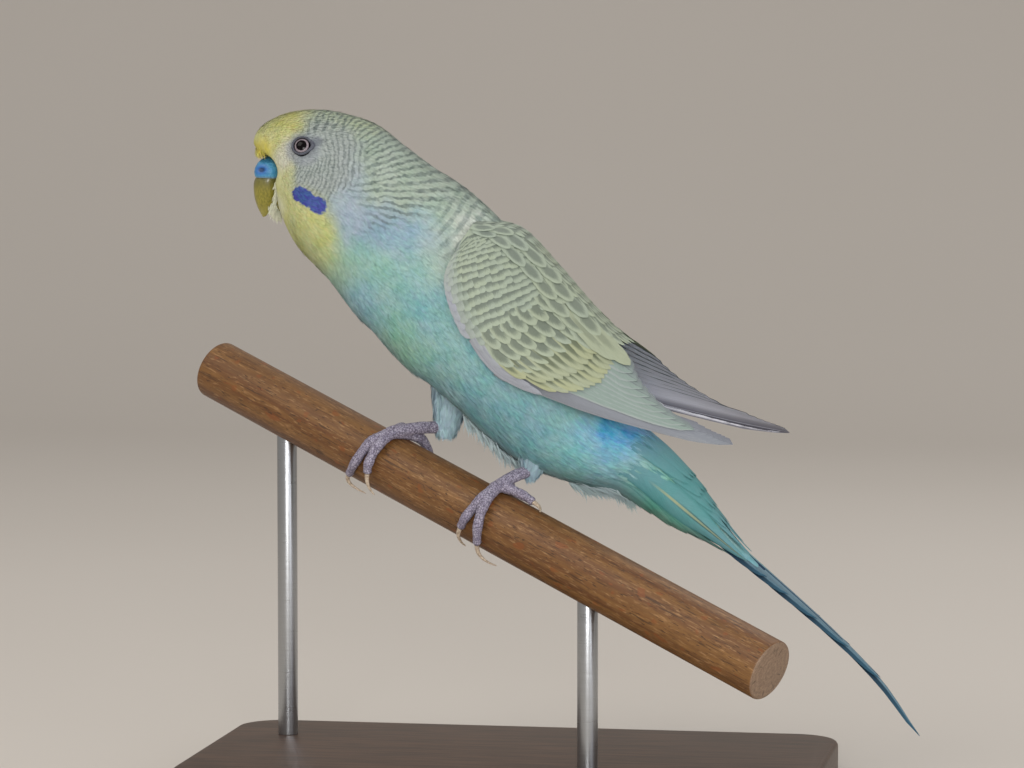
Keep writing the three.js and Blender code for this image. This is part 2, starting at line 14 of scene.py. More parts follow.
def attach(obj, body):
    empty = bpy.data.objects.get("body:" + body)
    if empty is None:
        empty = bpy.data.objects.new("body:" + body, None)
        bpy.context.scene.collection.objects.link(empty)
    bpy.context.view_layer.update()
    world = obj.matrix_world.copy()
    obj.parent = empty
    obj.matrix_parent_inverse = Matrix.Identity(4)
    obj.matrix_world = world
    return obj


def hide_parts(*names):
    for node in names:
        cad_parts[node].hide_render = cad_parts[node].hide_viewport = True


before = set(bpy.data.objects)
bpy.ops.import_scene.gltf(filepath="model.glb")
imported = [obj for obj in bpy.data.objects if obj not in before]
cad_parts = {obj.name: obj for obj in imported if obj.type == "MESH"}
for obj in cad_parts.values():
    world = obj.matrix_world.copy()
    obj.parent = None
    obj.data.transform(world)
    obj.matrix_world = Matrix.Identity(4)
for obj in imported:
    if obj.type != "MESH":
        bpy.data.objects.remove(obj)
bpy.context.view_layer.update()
print("nodes:", len(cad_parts))

# %% [markdown]
# ## Camera
# The bird is seen from its left side, a little from the front and a little from above, through a long lens,
# as a bird photographer would frame it. A long lens keeps the proportions of the head and tail true.

# %% Camera
MM = 0.001
camera_turn = math.radians(10)
camera_lift = math.radians(4)
camera_distance = 0.860
camera_target = Vector((0, 0, 0.088))
camera_way = Vector((
    -math.sin(camera_turn) * math.cos(camera_lift),
    math.cos(camera_turn) * math.cos(camera_lift),
    -math.sin(camera_lift),
))
camera_data = bpy.data.cameras.new("camera")
camera_data.lens = 140.625
camera_data.sensor_width = 36
camera = bpy.data.objects.new("camera", camera_data)
camera.location = camera_target - camera_way * camera_distance
camera.rotation_euler = camera_way.to_track_quat("-Z", "Y").to_euler()
bpy.context.scene.collection.objects.link(camera)
bpy.context.scene.camera = camera
print("camera at", tuple(round(c, 3) for c in camera.location))

# %% [markdown]
# ## The body's form
# A perched parrot's body is a spindle: each cross section is a soft oval between a point on the back and a
# point on the belly. The rows below give those two points and half of the width, in millimetres, from the
# forehead to the root of the tail. One function reads them, and the skin and every body feather use it.

# %% Body rows
body_rows = np.array([
    [-57.0, 140.0, -56.7, 138.8, 0.9], [-56.5, 142.0, -54.8, 136.5, 3.6],
    [-54.9, 144.0, -52.3, 133.2, 6.4], [-52.2, 145.6, -51.0, 129.0, 8.7],
    [-48.9, 146.8, -50.3, 124.0, 10.6], [-44.0, 147.4, -47.2, 117.2, 12.5],
    [-37.7, 146.8, -43.1, 112.6, 13.2], [-30.0, 144.4, -40.0, 109.4, 13.6],
    [-23.4, 139.7, -36.7, 105.1, 14.2], [-17.5, 135.4, -33.8, 101.5, 15.0],
    [-10.2, 130.7, -30.5, 98.5, 15.9], [-3.0, 124.4, -26.8, 94.4, 16.7],
    [3.2, 117.6, -22.8, 90.5, 17.2], [8.0, 109.4, -18.0, 87.3, 17.3],
    [12.2, 101.8, -11.8, 82.2, 16.8], [17.0, 94.8, -4.8, 75.8, 15.8],
    [21.4, 87.8, 1.7, 71.0, 14.2], [25.7, 82.3, 8.7, 67.8, 12.4],
    [29.7, 79.0, 15.9, 66.0, 10.8], [33.9, 75.1, 22.4, 65.1, 9.2],
    [38.0, 70.5, 28.9, 61.7, 7.6], [41.5, 66.3, 34.8, 58.0, 6.4],
    [44.9, 61.5, 39.9, 55.8, 5.6], [49.7, 55.2, 46.6, 52.4, 4.2],
    [54.4, 50.2, 52.7, 48.7, 2.8],
])
last_row = len(body_rows) - 1
roundness = 2.15
frame_step = 0.02


def smooth_line(points, share):
    """Places along a smooth line through evenly numbered points, at shares from 0 to 1."""
    points = np.asarray(points, float)
    if points.ndim == 1:
        points = points[:, None]
    count = len(points) - 1
    ends = np.vstack([2 * points[0] - points[1], points, 2 * points[-1] - points[-2]])
    place = np.clip(share, 0, 1) * count
    at = np.minimum(np.floor(place).astype(int), count - 1)
    w = (place - at)[..., None]
    a, b, c, d = ends[at], ends[at + 1], ends[at + 2], ends[at + 3]
    return 0.5 * (2 * b + (c - a) * w + (2 * a - 5 * b + 4 * c - d) * w**2 + (3 * b - a - 3 * c + d) * w**3)


def unit(vectors, floor=0.0):
    """Vectors brought to length 1; a small floor guards those without a length."""
    return vectors / (np.linalg.norm(vectors, axis=-1)[..., None] + floor)


def square_to(vectors, ways):
    """Unit vectors, turned square to the unit directions given with them."""
    return unit(vectors - ways * np.sum(vectors * ways, axis=1)[:, None])


def body_point(row, turn, extra=0.0):
    """The body's surface at a row and a turn: 0 on the back, pi on the belly, more than 0 on the right."""
    row, turn = np.broadcast_arrays(np.asarray(row, float), np.asarray(turn, float))
    section = smooth_line(body_rows, row / last_row)
    back, belly = section[..., 0:2], section[..., 2:4]
    middle, up = (back + belly) / 2, (back - belly) / 2
    half = np.linalg.norm(up, axis=-1)
    rise, out = np.cos(turn), np.sin(turn)
    size = (np.abs(rise) ** roundness + np.abs(out) ** roundness) ** (-1 / roundness)
    lift = ((half + extra) * rise * size / half)[..., None]
    side = (section[..., 4] + extra) * out * size
    flat = middle + up * lift
    return np.stack([flat[..., 0], side, flat[..., 1]], axis=-1)


def body_frame(row, turn):
    """At a place on the body: its point, the way towards the tail and the outward direction."""
    spot = body_point(row, turn)
    way = unit(body_point(row + frame_step, turn) - body_point(row - frame_step, turn))
    around = body_point(row, turn + frame_step) - body_point(row, turn - frame_step)
    out = unit(np.cross(way, around), 1e-12)
    centre = (body_point(row, 0 * turn) + body_point(row, 0 * turn + math.pi)) / 2
    out *= np.sign(np.sum(out * (spot - centre), axis=-1))[..., None]
    return spot, way, out


def flank(x, z):
    """How far the body's side is from the middle plane, seen at a point of the side view."""
    low, high = np.zeros_like(x), np.full_like(x, last_row)
    for _ in range(22):
        row = (low + high) / 2
        section = smooth_line(body_rows, row / last_row)
        bx, bz, cx, cz = (section[..., i] for i in range(4))
        ahead = (x - cx) * (bz - cz) - (z - cz) * (bx - cx) > 0
        low, high = np.where(ahead, row, low), np.where(ahead, high, row)
    section = smooth_line(body_rows, low / last_row)
    bx, bz, cx, cz, width = (section[..., i] for i in range(5))
    length = (bx - cx) ** 2 + (bz - cz) ** 2
    height = 2 * ((x - cx) * (bx - cx) + (z - cz) * (bz - cz)) / length - 1
    inside = np.clip(1 - np.abs(height) ** roundness, 0, 1)
    return width * inside ** (1 / roundness)


print("body from", body_point(0, 0).round(1), "to", body_point(last_row, 0).round(1))

# %% [markdown]
# ## Wings
# A folded wing lies over the flank like a long shield. It is given by rows from the shoulder to the tip, each
# with its edge along the back, its edge along the flank and how far it bulges between them. The far wing
# reaches further back than the near one, because the bird has just settled.

# %% Wing rows
wing_rows = np.array([
    [-6.5, 9.0, 122.5, -8.6, 15.4, 118.6, 1.0], [1.6, 6.5, 120.4, -11.2, 16.8, 110.8, 4.2],
    [9.3, 5.0, 113.0, -8.0, 18.0, 100.6, 5.6], [16.0, 4.6, 105.4, -1.4, 18.2, 91.8, 5.6],
    [22.6, 5.4, 97.4, 8.0, 17.6, 87.2, 4.6], [30.6, 7.2, 89.6, 21.6, 16.4, 81.9, 2.8],
    [42.0, 9.8, 81.5, 38.4, 14.0, 77.9, 1.0], [50.3, 11.8, 77.2, 48.6, 12.8, 76.4, 0.1],
])
wing_clear = 1.2
top_turn = math.radians(40)
wing_sides = {
    "left": {"side": -1, "reach": 0.0, "lift": 0.0},
    "right": {"side": 1, "reach": 9.3, "lift": 0.6},
}


def wing_point(wing, u, v, depth=0.0):
    """The wing's outer surface: u from shoulder to tip, v from the back edge to the flank edge."""
    u, v, depth = np.broadcast_arrays(*(np.asarray(a, float) for a in (u, v, depth)))
    section = smooth_line(wing_rows, u)
    spot = section[..., 0:3] * (1 - v)[..., None] + section[..., 3:6] * v[..., None]
    spot[..., 1] += section[..., 6] * 4 * v * (1 - v)
    spot[..., 1] = np.maximum(spot[..., 1], flank(spot[..., 0], spot[..., 2]) + wing_clear)
    share = np.clip((u - 0.4) / 0.6, 0, 1)
    stretch = share * share * (3 - 2 * share)
    spot[..., 0] += wing["reach"] * stretch
    spot[..., 2] += wing["lift"] * stretch
    turn = top_turn * np.maximum(0, 1 - 2 * v)
    spot[..., 0] -= depth * 0.65 * np.sin(turn)
    spot[..., 2] -= depth * 0.75 * np.sin(turn)
    spot[..., 1] = wing["side"] * (spot[..., 1] - depth * np.cos(turn))
    return spot


wing_core_end = 0.48
wing_thickness = [3.4, 3.4, 3.2, 3.0, 2.6, 2.0, 1.4, 0.9]
print("wing tips", {name: wing_point(wing, 1, 0.5).round(1).tolist() for name, wing in wing_sides.items()})

# %% [markdown]
# ## A closed sleeve from a grid
# Skin, shanks, toes and claws are all closed sleeves. A flat grid is rolled up by a function that says where
# each point goes, its seam is merged and its ends are filled. That is quicker to steer than modelling by
# hand, and one helper serves every such form.

# %% Sleeve helper
def take_points(bm, place):
    """Moves the points of a grid, whose sides run from 0 to 1, to where a function of both sides says."""
    bm.verts.ensure_lookup_table()
    flat = np.array([v.co[:] for v in bm.verts])
    spots = place(flat[:, 0] + 0.5, flat[:, 1] + 0.5) * MM
    for vert, spot in zip(bm.verts, spots):
        vert.co = spot


def add_sleeve(bm, place, around, along):
    """Adds a closed sleeve: place(turn, share) gives millimetres, turn in radians, share along it."""
    part = bmesh.new()
    bmesh.ops.create_grid(part, x_segments=around, y_segments=along, size=0.5)
    take_points(part, lambda x, y: place(x * 2 * math.pi, y))
    bmesh.ops.remove_doubles(part, verts=part.verts, dist=1e-6)
    bmesh.ops.holes_fill(part, edges=part.edges, sides=0)
    bmesh.ops.recalc_face_normals(part, faces=part.faces)
    copy = bpy.data.meshes.new("part")
    part.to_mesh(copy)
    part.free()
    bm.from_mesh(copy)
    bpy.data.meshes.remove(copy)


def link_object(name, data):
    """Puts a mesh or a light in the scene as an object."""
    piece = bpy.data.objects.new(name, data)
    bpy.context.scene.collection.objects.link(piece)
    return piece


def add_object(name, bm, material=None):
    """Makes an object of a bmesh, with smooth shading, and puts it in the scene."""
    mesh = bpy.data.meshes.new(name)
    bm.to_mesh(mesh)
    bm.free()
    mesh.shade_smooth()
    if material:
        mesh.materials.append(material)
    return link_object(name, mesh)


# %% [markdown]
# ## The skin
# Under its feathers a bird is one continuous skin. The body, both folded wings and the thighs are made as
# closed sleeves, a little inside the solids, and joined with a voxel remesh, which leaves no seam. The skin
# only shows as a darker ground between the feathers, so it carries the same markings as they do.

# %% Skin
coat_depth = 0.7
thighs = {
    "left": {"hip": (8.0, -7.4, 80.5), "size": (7.6, 5.6), "ankle": (5.2, -5.2, 69.0), "end": 1.9},
    "right": {"hip": (-12.8, 6.4, 93.0), "size": (7.0, 5.4), "ankle": (-15.7, 6.6, 76.9), "end": 2.7},
}


def thigh_point(thigh, turn, share, extra=0.0):
    """The thigh's surface, a cone that leans from the hip to the ankle."""
    hip, ankle = np.array(thigh["hip"]), np.array(thigh["ankle"])
    turn, share = np.broadcast_arrays(np.asarray(turn, float), np.asarray(share, float))
    spot = hip + (ankle - hip) * share[..., None]
    long = thigh["size"][0] + (thigh["end"] - thigh["size"][0]) * share + extra
    short = thigh["size"][1] + (thigh["end"] - thigh["size"][1]) * share + extra
    spot[..., 0] += long * np.cos(turn)
    spot[..., 1] += short * np.sin(turn)
    return spot


def wing_sleeve(wing, turn, share):
    """The wing's body, inside its feathers."""
    u = 0.02 + share * (wing_core_end - 0.02)
    thick = smooth_line(wing_thickness, u)[..., 0]
    v = 0.5 + 0.46 * np.sin(turn)
    return wing_point(wing, u, v, coat_depth + (0.5 - 0.5 * np.cos(turn)) * (thick - coat_depth))


cere_seat = (-54.0, 133.5, 4.1, 3.3)
bill_seat = (-54.5, 128.8, 3.9, 5.2)
eye_seat = (-43.6, 139.3, 2.6, 2.6)
seat_depth, socket_depth, socket_side = 2.2, 0.3, 6


def seat_reach(spots, seat):
    """The squared distance from a seat's middle, 1 at the rim of its oval in the side view."""
    x, z, long, tall = seat
    return ((spots[..., 0] - x) / long) ** 2 + ((spots[..., 2] - z) / tall) ** 2


def face_dent(spots):
    """How much deeper the skin lies under the cere and bill and round the eyes, in millimetres."""
    front = np.minimum(seat_reach(spots, cere_seat), seat_reach(spots, bill_seat))
    socket = np.exp(-(seat_reach(spots, eye_seat) ** 2)) * (np.abs(spots[..., 1]) > socket_side)
    return seat_depth * np.exp(-front ** 3) + socket_depth * socket


def body_skin(turn, share):
    """The body's skin: the surface of the feathers, sunk by the coat's depth."""
    row = share * last_row
    spots, _, out = body_frame(np.clip(row, 0.03, last_row - 0.03), turn)
    sunk = body_point(row, turn, -coat_depth)
    return sunk - out * face_dent(spots)[..., None]


def make_skin():
    """Joins the sleeves of body, wings and thighs to one seamless skin."""
    bm = bmesh.new()
    add_sleeve(bm, body_skin, 72, 110)
    for wing in wing_sides.values():
        add_sleeve(bm, lambda turn, share: wing_sleeve(wing, turn, share), 28, 40)
    for thigh in thighs.values():
        add_sleeve(bm, lambda turn, share: thigh_point(thigh, turn, share * 0.96, -0.5), 24, 12)
    skin = add_object("skin", bm)
    remesh = skin.modifiers.new("join", "REMESH")
    remesh.mode = "VOXEL"
    remesh.voxel_size = 0.55 * MM
    remesh.use_smooth_shade = True
    graph = bpy.context.evaluated_depsgraph_get()
    joined = bpy.data.meshes.new_from_object(skin.evaluated_get(graph))
    skin.modifiers.clear()
    skin.data = joined
    return skin


skin = make_skin()
print("skin triangles", len(skin.data.polygons) * 2)

# %% [markdown]
# ## Shader helpers
# Every finish is made of nodes, and small helpers keep the material cells short. One adds a node and joins
# its inputs, others do sums, mix colours or draw noise, and one turns a web colour into the linear values
# that a shader wants. The last one joins a finished colour to the shader, with its roughness and its bump.

# %% Shader helpers
def colour(code):
    """A web colour such as 7fb4cf as linear red, green, blue and alpha."""
    parts = [int(code[i:i + 2], 16) / 255 for i in (0, 2, 4)]
    return [c / 12.92 if c <= 0.04045 else ((c + 0.055) / 1.055) ** 2.4 for c in parts] + [1.0]


def add_node(tree, kind, inputs=(), **settings):
    """Adds a node, sets it up, and joins or fills the inputs, given as (name or number, value) pairs."""
    made = tree.nodes.new(kind)
    for name, value in settings.items():
        setattr(made, name, value)
    for key, value in inputs:
        socket = made.inputs[key]
        if isinstance(value, bpy.types.NodeSocket):
            tree.links.new(value, socket)
        else:
            socket.default_value = value
    return made


def sums(tree, operation, *values, clamp=False):
    """One step of arithmetic; returns its output."""
    made = add_node(tree, "ShaderNodeMath", enumerate(values), operation=operation, use_clamp=clamp)
    return made.outputs[0]


def vector_sums(tree, operation, *values, out=0):
    """One step of arithmetic on vectors; returns one of its outputs."""
    pairs = [(3 if operation == "SCALE" and i == 1 else i, value) for i, value in enumerate(values)]
    return add_node(tree, "ShaderNodeVectorMath", pairs, operation=operation).outputs[out]


def mixed(tree, factor, low, high, blend="MIX"):
    """Two colours mixed by a factor."""
    pairs = [(0, factor), (6, low), (7, high)]
    return add_node(tree, "ShaderNodeMix", pairs, data_type="RGBA", blend_type=blend).outputs[2]


def ramp(tree, value, low, high, to_low=0.0, to_high=1.0, kind="SMOOTHSTEP"):
    """A value carried smoothly from one range to another."""
    pairs = [(0, value), (1, low), (2, high), (3, to_low), (4, to_high)]
    return add_node(tree, "ShaderNodeMapRange", pairs, interpolation_type=kind).outputs[0]


def noise(tree, vector, scale, detail=2.0, rough=0.5, out=0):
    """Smooth noise; output 0 is a value around a half, output 1 a colour."""
    pairs = [("Vector", vector), ("Scale", scale), ("Detail", detail), ("Roughness", rough)]
    return add_node(tree, "ShaderNodeTexNoise", pairs).outputs[out]


def new_group(name, inputs, outputs):
    """A shader node group with named inputs and outputs; each is a name, a kind and a start value."""
    group = bpy.data.node_groups.new(name, "ShaderNodeTree")
    for label, kind, value in inputs:
        socket = group.interface.new_socket(label, in_out="INPUT", socket_type="NodeSocket" + kind)
        socket.default_value = value
    for label, kind in outputs:
        group.interface.new_socket(label, in_out="OUTPUT", socket_type="NodeSocket" + kind)
    start = group.nodes.new("NodeGroupInput")
    end = group.nodes.new("NodeGroupOutput")
    return group, start, end


def use_group(tree, group, inputs=()):
    """Places a group in a tree; returns its first output."""
    return add_node(tree, "ShaderNodeGroup", inputs, node_tree=group).outputs[0]


def axes_of(tree, vector):
    """The x, y and z of a vector."""
    return add_node(tree, "ShaderNodeSeparateXYZ", [(0, vector)]).outputs


def vector_of(tree, x, y, z):
    """A vector from its x, y and z."""
    return add_node(tree, "ShaderNodeCombineXYZ", enumerate((x, y, z))).outputs[0]


def object_place(tree):
    """The place on the piece, in metres."""
    return add_node(tree, "ShaderNodeTexCoord").outputs["Object"]


def folded(tree, place):
    """A place in metres, in millimetres and with both sides laid on the right one."""
    axes = axes_of(tree, vector_sums(tree, "SCALE", place, 1000.0))
    return vector_of(tree, axes[0], sums(tree, "ABSOLUTE", axes[1]), axes[2])


def hue_shifted(tree, base, value, **shift):
    """A colour made lighter or darker, and perhaps shifted in hue or saturation."""
    pairs = [("Value", value), ("Color", base), *shift.items()]
    return add_node(tree, "ShaderNodeHueSaturation", pairs).outputs[0]


def new_material(name):
    """A material with an empty Principled shader; returns it, its tree and the shader."""
    material = bpy.data.materials.new(name)
    material.use_nodes = True
    tree = material.node_tree
    shader = tree.nodes["Principled BSDF"]
    return material, tree, shader


def finish_shader(tree, shader, base, values, height=None, strength=0.0, depth=0.0002, **settings):
    """Joins a colour, sets the shader's plain values and adds a bump where a height is given."""
    tree.links.new(base, shader.inputs["Base Color"])
    for label, value in values.items():
        shader.inputs[label].default_value = value
    if height is not None:
        pairs = [("Height", height), ("Strength", strength), ("Distance", depth)]
        bump = add_node(tree, "ShaderNodeBump", pairs, **settings)
        tree.links.new(bump.outputs[0], shader.inputs["Normal"])


# %% [markdown]
# ## Markings
# The bird's colours lie in soft patches, and its head and neck are barred. Two things make the markings: soft
# spots, ovals with a blurred edge placed in millimetres, and bars, which run either in rings round a point
# on the face or as a fan from a point under the cheek. One group holds them all, so skin and feathers match.

# %% Soft spot and bars
def make_spot_group():
    """A soft oval: 1 inside, 0 outside. Tilt turns it in the side view."""
    inputs = [("Place", "Vector", (0, 0, 0)), ("Centre", "Vector", (0, 0, 0)), ("Size", "Vector", (1, 1, 1)),
              ("Tilt", "Float", 0.0), ("Softness", "Float", 0.3)]
    group, start, end = new_group("soft spot", inputs, [("Mask", "Float")])
    offset = vector_sums(group, "SUBTRACT", start.outputs["Place"], start.outputs["Centre"])
    turned = add_node(group, "ShaderNodeVectorRotate", [("Vector", offset), ("Angle", start.outputs["Tilt"])],
                      rotation_type="Y_AXIS")
    sized = vector_sums(group, "DIVIDE", turned.outputs[0], start.outputs["Size"])
    reach = vector_sums(group, "LENGTH", sized, out=1)
    low = sums(group, "SUBTRACT", 1.0, start.outputs["Softness"])
    high = sums(group, "ADD", 1.0, start.outputs["Softness"])
    mask = ramp(group, reach, low, high, 1.0, 0.0)
    group.links.new(mask, end.inputs[0])
    return group


def make_bar_group():
    """Dark bars: rings round a centre where Fan is 0, or a fan of rays from it where Fan is 1."""
    inputs = [("Place", "Vector", (0, 0, 0)), ("Centre", "Vector", (0, 0, 0)), ("Spacing", "Float", 1.0),
              ("Fan", "Float", 0.0), ("Width", "Float", 0.0)]
    group, start, end = new_group("bars", inputs, [("Mask", "Float")])
    offset = vector_sums(group, "SUBTRACT", start.outputs["Place"], start.outputs["Centre"])
    flat = vector_sums(group, "MULTIPLY", offset, (1, 0, 1))
    tall = vector_sums(group, "MULTIPLY", offset, (1, 0, 0.85))
    rings = sums(group, "POWER", vector_sums(group, "LENGTH", tall, out=1), 0.6)
    axes = axes_of(group, flat)
    rays = sums(group, "ARCTAN2", axes[2], axes[0])
    level = add_node(group, "ShaderNodeMix", [(0, start.outputs["Fan"]), (2, rings), (3, rays)]).outputs[0]
    phase = sums(group, "DIVIDE", sums(group, "MULTIPLY", level, 2 * math.pi), start.outputs["Spacing"])
    wave = sums(group, "ADD", sums(group, "SINE", phase), start.outputs["Width"])
    group.links.new(ramp(group, wave, -0.35, 0.75), end.inputs[0])
    return group


spot_group = make_spot_group()
bar_group = make_bar_group()


def soft_spot(tree, place, centre, size, tilt, softness):
    """The mask of one soft oval, its tilt in degrees."""
    inputs = [("Place", place), ("Centre", centre), ("Size", size), ("Tilt", math.radians(tilt)),
              ("Softness", softness)]
    return use_group(tree, spot_group, inputs)


def jitter(tree, place, scale):
    """Noise round nothing, which can push a place about."""
    return vector_sums(tree, "SUBTRACT", noise(tree, place, scale, out=1), (0.5, 0.5, 0.5))


def pushed(tree, place, push, amount):
    """A place moved along a push by some amount in millimetres."""
    return vector_sums(tree, "ADD", place, vector_sums(tree, "SCALE", push, amount))

# %% Table of soft spots
# Each spot: centre x, y and z, half sizes along them, tilt in degrees, softness, strength, colour.
any_y = 400
body_spots = [
    ((-28, 12, 113), (11, any_y, 9), 30, 0.7, 0.5, "94bfa6"),
    ((-21, 14, 98), (4.5, any_y, 7), 35, 0.8, 0.5, "93c59c"),
    ((-31, 12, 105), (5, any_y, 6), 20, 0.8, 0.5, "8fbcd4"),
    ((2, 12, 82), (24, any_y, 9), 38, 0.6, 0.6, "669da8"),
    ((27, 9, 80), (11, any_y, 5), 25, 0.8, 0.85, "4ca4d6"),
    ((37, 6, 64), (15, any_y, 8), 48, 0.6, 0.7, "68b898"),
    ((14, 8, 72), (7, any_y, 5), 20, 0.7, 0.5, "7cb8b4"),
    ((-22, 12, 140), (29, any_y, 15.5), 28, 0.25, 0.95, "a9b6a5"),
    ((-38, 0, 147.5), (15, any_y, 6.5), 0, 0.3, 0.95, "b2bea0"),
    ((-4, 8, 124), (14, any_y, 11), 45, 0.4, 0.9, "aebcaa"),
    ((-26, 14, 122), (12, any_y, 4.5), -12, 0.6, 0.75, "8ca6bc"),
    ((-33, 13, 129), (3.5, any_y, 8), 0, 0.6, 0.7, "a0b0bf"),
    ((-42, 12, 135.6), (11, any_y, 9), 20, 0.25, 0.9, "a1a9a5"),
    ((-7.5, 14, 121.5), (3.0, any_y, 4.0), 45, 0.6, 0.7, "d2d6cd"),
]
mask_spots = [
    ((-53, 0, 142.5), (10, any_y, 7), 35, 0.3, 0.9, "c8c575"),
    ((-51, 0, 131), (5.6, any_y, 12), -8, 0.3, 0.85, "c6c682"),
    ((-43.5, 9, 120.5), (7.4, any_y, 9.0), 28, 0.35, 0.85, "cac977"),
    ((-38, 10, 113), (5, any_y, 6), 35, 0.6, 0.4, "b8c79a"),
    ((-53.5, 3, 138.4), (3.0, any_y, 2.4), 0, 0.5, 0.7, "cdbf4e"),
    ((-47.5, 10, 137.4), (2.2, any_y, 3.8), -20, 0.6, 0.55, "c9c6c4"),
    ((-50.8, 5, 124.5), (2.4, any_y, 5), -35, 0.5, 0.5, "d6d8c4"),
    ((-43.4, 12, 138.4), (3.9, any_y, 3.2), 0, 0.3, 0.8, "8f959b"),
    ((-40.4, 12, 139.8), (1.7, any_y, 0.9), 10, 0.6, 0.8, "6f757d"),
]
patch_spots = [
    ((-43.9, 11, 128.9), (1.7, any_y, 1.6), 0, 0.14, 1.0, "46559c"),
    ((-42.2, 11, 127.9), (2.1, any_y, 1.7), -30, 0.14, 1.0, "42569b"),
    ((-39.9, 12, 126.6), (2.2, any_y, 1.8), -30, 0.14, 1.0, "4a5aa0"),
]


# %% Markings group
def add_spots(group, place, base, spots):
    """Lays a list of soft spots over a colour, one after another."""
    for centre, size, tilt, softness, strength, code in spots:
        mask = soft_spot(group, place, centre, size, tilt, softness)
        base = mixed(group, sums(group, "MULTIPLY", mask, strength), base, colour(code))
    return base


def add_bars(group, place, base, centre, spacing, fan, area, strength, code, width=0.0, keep_out=()):
    """Lays dark bars over a colour inside one soft oval and outside others."""
    inputs = [("Place", place), ("Centre", centre), ("Spacing", spacing), ("Fan", fan), ("Width", width)]
    uneven = ramp(group, noise(group, place, 0.8, detail=3.0), 0.35, 0.6, 0.45, 1.0)
    mask = sums(group, "MULTIPLY", use_group(group, bar_group, inputs), uneven)
    mask = sums(group, "MULTIPLY", mask, soft_spot(group, place, *area))
    for kept in keep_out:
        outside = sums(group, "SUBTRACT", 1.0, soft_spot(group, place, *kept))
        mask = sums(group, "MULTIPLY", mask, outside)
    return mixed(group, sums(group, "MULTIPLY", mask, strength), base, colour(code))


cheek_area = ((-40.6, 0, 134.0), (11.5, any_y, 7.6), 22, 0.1)
eye_area = ((-43.0, 0, 139.0), (4.4, any_y, 3.4), 0, 0.3)
face_area = ((-57, 0, 134), (13.2, any_y, 17), 0, 0.25)
inner_area = ((-42, 0, 129.3), (15.5, any_y, 15.5), 0, 0.03)
neck_area = ((-22, 0, 141), (29, any_y, 17.0), 28, 0.12)
back_area = ((-3, 0, 124), (12, any_y, 10), 45, 0.3)
throat_area = ((-40, 0, 121), (12, any_y, 7.5), 25, 0.3)
fan_foot = (-42.0, 0, 129.3)


def add_variety(group, place, base):
    """Makes a colour paler and greyer here and there, finely and broadly."""
    broad = noise(group, place, 0.22, detail=4.0, rough=0.6)
    fine = noise(group, place, 1.6, detail=2.0)
    value = sums(group, "MULTIPLY", ramp(group, broad, 0.3, 0.7, 0.95, 1.06, kind="LINEAR"),
                 ramp(group, fine, 0.3, 0.7, 0.96, 1.04, kind="LINEAR"))
    full = ramp(group, broad, 0.3, 0.75, 1.1, 0.72, kind="LINEAR")
    return hue_shifted(group, base, value, Saturation=full)


def make_markings():
    """The whole bird's colour at a place given in metres."""
    group, start, end = new_group("markings", [("Place", "Vector", (0, 0, 0))], [("Color", "Color")])
    place = folded(group, start.outputs[0])
    wobble = jitter(group, place, 0.35)
    loose = pushed(group, place, wobble, 5.0)
    firm = pushed(group, pushed(group, place, wobble, 1.3), jitter(group, place, 1.1), 0.9)
    tight = pushed(group, place, jitter(group, place, 1.3), 1.3)
    wide = noise(group, place, 0.09, detail=3.0)
    base = mixed(group, ramp(group, wide, 0.35, 0.65), colour("7eafb7"), colour("88b5b1"))
    base = add_spots(group, loose, base, body_spots)
    near = add_bars(group, firm, base, fan_foot, 0.122, 1.0, neck_area, 0.68, "566463", 0.0,
                    keep_out=[cheek_area, face_area, throat_area])
    far = add_bars(group, firm, base, fan_foot, 0.072, 1.0, neck_area, 0.68, "566463", 0.0)
    base = mixed(group, soft_spot(group, loose, *inner_area), far, near)
    base = add_bars(group, firm, base, (-21.4, 0, 132), 0.45, 0.0, back_area, 0.6, "6b7b78")
    base = add_bars(group, firm, base, (-46.6, 0, 135.5), 0.235, 0.0, cheek_area, 0.6, "66716f", 0.0,
                    keep_out=[eye_area])
    base = add_spots(group, firm, base, mask_spots)
    base = add_variety(group, place, base)
    base = add_spots(group, tight, base, patch_spots)
    group.links.new(base, end.inputs[0])
    return group


markings = make_markings()
print("markings nodes:", len(markings.nodes))


# %% Skin material
def make_skin_material():
    """The bird's markings with a fine grain, for the ground between the feathers."""
    material, tree, shader = new_material("skin")
    place = object_place(tree)
    fine = noise(tree, place, 900.0, detail=3.0)
    shade = [(i, ramp(tree, fine, 0.3, 0.7, 0.88, 1.0)) for i in range(3)]
    grey = add_node(tree, "ShaderNodeCombineColor", shade).outputs[0]
    base = mixed(tree, 1.0, use_group(tree, markings, [("Place", place)]), grey, blend="MULTIPLY")
    finish_shader(tree, shader, base, {"Roughness": 0.85, "Specular IOR Level": 0.2}, fine, 0.4)
    return material


skin.data.materials.clear()
skin.data.materials.append(make_skin_material())
flesh = ["head", "neck", "torso", "tail", "wing_left", "wing_right", "leg_left", "leg_right"]
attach(skin, "root")
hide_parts(*flesh)

# %% [markdown]
# ## Small feathers
# The head and body are covered with thousands of short soft feathers that lie back along the body. Each is a
# tuft: seven narrow barbs that spread from one root, which gives the frayed, downy edge that a single leaf
# shape lacks. One tuft is modelled, and arrays then lay copies of it over the skin as one mesh.

